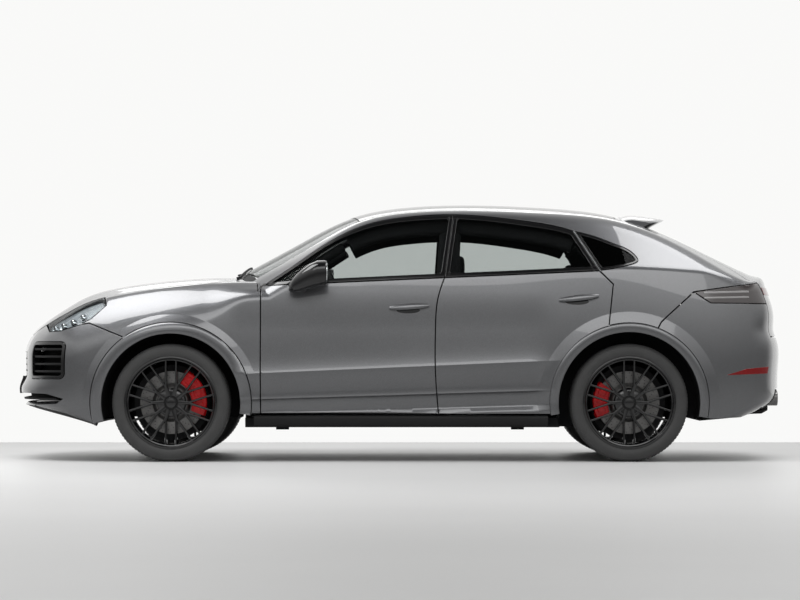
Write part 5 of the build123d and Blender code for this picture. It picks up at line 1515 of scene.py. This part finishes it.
# Rear bench
# One foam cushion and one back in black leather, each drawn in along two seams, with two head rests.
BENCH_SEAT = ((-0.560, 0.310), (-0.552, 0.440), (-0.566, 0.505), (-0.610, 0.523), (-0.740, 0.512), (-0.880, 0.495),
              (-0.980, 0.470), (-0.995, 0.320))
BENCH_BACK = ((-0.930, 0.520), (-0.965, 0.640), (-1.010, 0.830), (-1.048, 1.000), (-1.075, 1.080), (-1.110, 1.085),
              (-1.135, 1.040), (-1.105, 0.900), (-1.050, 0.680), (-1.010, 0.540), (-0.970, 0.505))


def bench_shape(profile, middle, spread):
    """A profile carried across the cabin, hollowed a little at each place and pulled in along two seams."""
    rows = []
    for y in np.linspace(-0.575, 0.575, 47):
        end = 1 - 0.12 * (abs(y) / 0.575)**14
        seam = 0.93 if min(abs(abs(y) - 0.17), 1) < 0.013 else 1.0
        hollow = spread * math.exp(-((abs(y) - 0.37) / 0.13)**2)
        size = end * seam - hollow
        rows.append([(middle[0] + (x - middle[0]) * size, y, middle[1] + (z - middle[1]) * size) for x, z in profile])
    return loft(rows)


for name, profile, middle, replaced in (("bench_cushion", BENCH_SEAT, (-0.78, 0.40), None),
                                        ("bench_back", BENCH_BACK, (-1.03, 0.80), "rear_bench")):
    pad = puffed(name, bench_shape(profile, middle, 0.02), 0.018)
    finish_piece(pad, "body", "upholstery", leather, replaced)
bench_rests = [section_at((-1.105, 0.350, z), 0.034 * share, 0.110 * share, 24, 3, 2)
               for z, share in ((1.110, 0.80), (1.120, 0.93), (1.150, 1.0), (1.215, 1.0), (1.245, 0.94), (1.256, 0.80))]
padded_pair("bench_head_rests", loft(bench_rests))

# Running gear, floor and liners
# The sheet floor, the wheel housings, the axles with their arms and the engine keep their solids under plain finishes.
floor_coat = make_grained("floor_coating", (0.010, 0.010, 0.011, 1), 0.8, 300.0, 0.5)
cast_grey = make_metal("cast_metal", (0.06, 0.06, 0.062, 1), (0.14, 0.14, 0.145, 1), 40.0, 6.0, (0.4, 0.3),
                       (0.3, 0.001), 0.8)
for names, material in ((("floor_pan", "wheel_liners"), floor_coat),
                        (("front_axle", "rear_axle", "knuckle_l", "knuckle_r", "engine"), cast_grey)):
    for name in names:
        nodes[name].data.materials.clear()
        nodes[name].data.materials.append(material)

# Engine cover
# A moulded cover with raised ribs, pressed onto rubber studs on top of the engine.
cover_rows = [section_at((1.63, 0, z), 0.30 * share, 0.29 * share, 48, 6, 2)
              for z, share in ((0.872, 1.0), (0.925, 1.0), (0.940, 0.985), (0.950, 0.95), (0.955, 0.90))]
rib = loft([section_at((x, -0.20, 0.955), 0.008, 0.006 * swell, 12)
            for x, swell in ((1.40, 0.3), (1.42, 1.0), (1.84, 1.0), (1.86, 0.3))])
cover = joined([loft(cover_rows), row(rib, 9, (0, 0.05, 0), black_plastic)])
add_piece("engine_cover", cover, "body", "black_plastic", black_plastic)

# Camera, floor and light
# A level camera looks at the car's left side from twenty metres away; a pale floor runs into a pale wall.
SOFT_LIGHT = 0.45
camera_data = bpy.data.cameras.new("camera")
camera_data.lens = 142.7
camera_data.sensor_width = 36.0
camera_data.shift_y = 0.061
camera = bpy.data.objects.new("camera", camera_data)
camera.location = (0.0, 20.98, 0.713)
camera.rotation_euler = (math.pi / 2, 0, math.pi)
camera_data.clip_end = 200
collection.objects.link(camera)
bpy.context.scene.camera = camera

world = bpy.data.worlds.new("studio")
bpy.context.scene.world = world
world.use_nodes = True
sky = world.node_tree.nodes["Background"]
sky.inputs["Color"].default_value = (0.95, 0.95, 0.94, 1)
# The camera and window glass see the full wall; reflections see it at -Y, and elsewhere a room that dims up and down
path_node = world.node_tree.nodes.new("ShaderNodeLightPath")
seen, mirrored_in, through = (Shade(world.node_tree, path_node.outputs[f"Is {name} Ray"])
                              for name in ("Camera", "Glossy", "Transmission"))
way = seen.node("ShaderNodeTexCoord")
wall = way.node("ShaderNodeSeparateXYZ", {0: way}, output=1).spread(0.0, -0.5)
rise = way.node("ShaderNodeSeparateXYZ", {0: way}, output=2)
room = (rise.spread(0.05, 0.5045) * 1.2 + 0.25) * rise.spread(0.80, 0.55) + 0.12
direct = seen.math("MAXIMUM", through)
level = direct + (1.0 - direct) * ((1.0 - mirrored_in) * SOFT_LIGHT + mirrored_in * wall.math("MAXIMUM", room))
world.node_tree.links.new(level.socket, sky.inputs["Strength"])
bpy.context.scene.view_settings.view_transform = "Standard"

floor_material, floor_shader, floor_place = start_material("pale_floor")
drive(floor_shader, Base_Color=noise(floor_place, 0.6, 4.0).mix((0.60, 0.60, 0.60, 1), (0.66, 0.66, 0.66, 1)),
      Roughness=0.42)
floor = new_piece("floor", [(-12, -3.2, 0), (12, -3.2, 0), (12, 16, 0), (-12, 16, 0)], [[0, 1, 2, 3]])
floor.data.materials.append(floor_material)

# Columns: name, place, point it faces, width, height, watts
SOFT_BOXES = (
    ("front_left", (2.7, 1.4, 4.3), (1.7, 0.85, 0.95), 2.4, 2.4, 150),
    ("rear_left", (-2.9, 0.9, 4.4), (-1.9, 0.8, 1.3), 1.9, 2.2, 85),
    ("shoulder_strip", (-0.5, 6.5, 4.8), (-0.3, 0.9, 1.1), 8.0, 2.2, 110),
    ("far_side", (0.0, -6.0, 4.4), (0.0, 0.0, 0.8), 6.0, 1.5, 50),
)
for name, place, aim, width, height, watts in SOFT_BOXES:
    lamp = bpy.data.lights.new(name, "AREA")
    lamp.shape, lamp.size, lamp.size_y, lamp.energy = "RECTANGLE", width, height, watts
    box = bpy.data.objects.new(name, lamp)
    box.location = place
    box.rotation_euler = (Vector(place) - Vector(aim)).to_track_quat("Z", "Y").to_euler()
    collection.objects.link(box)
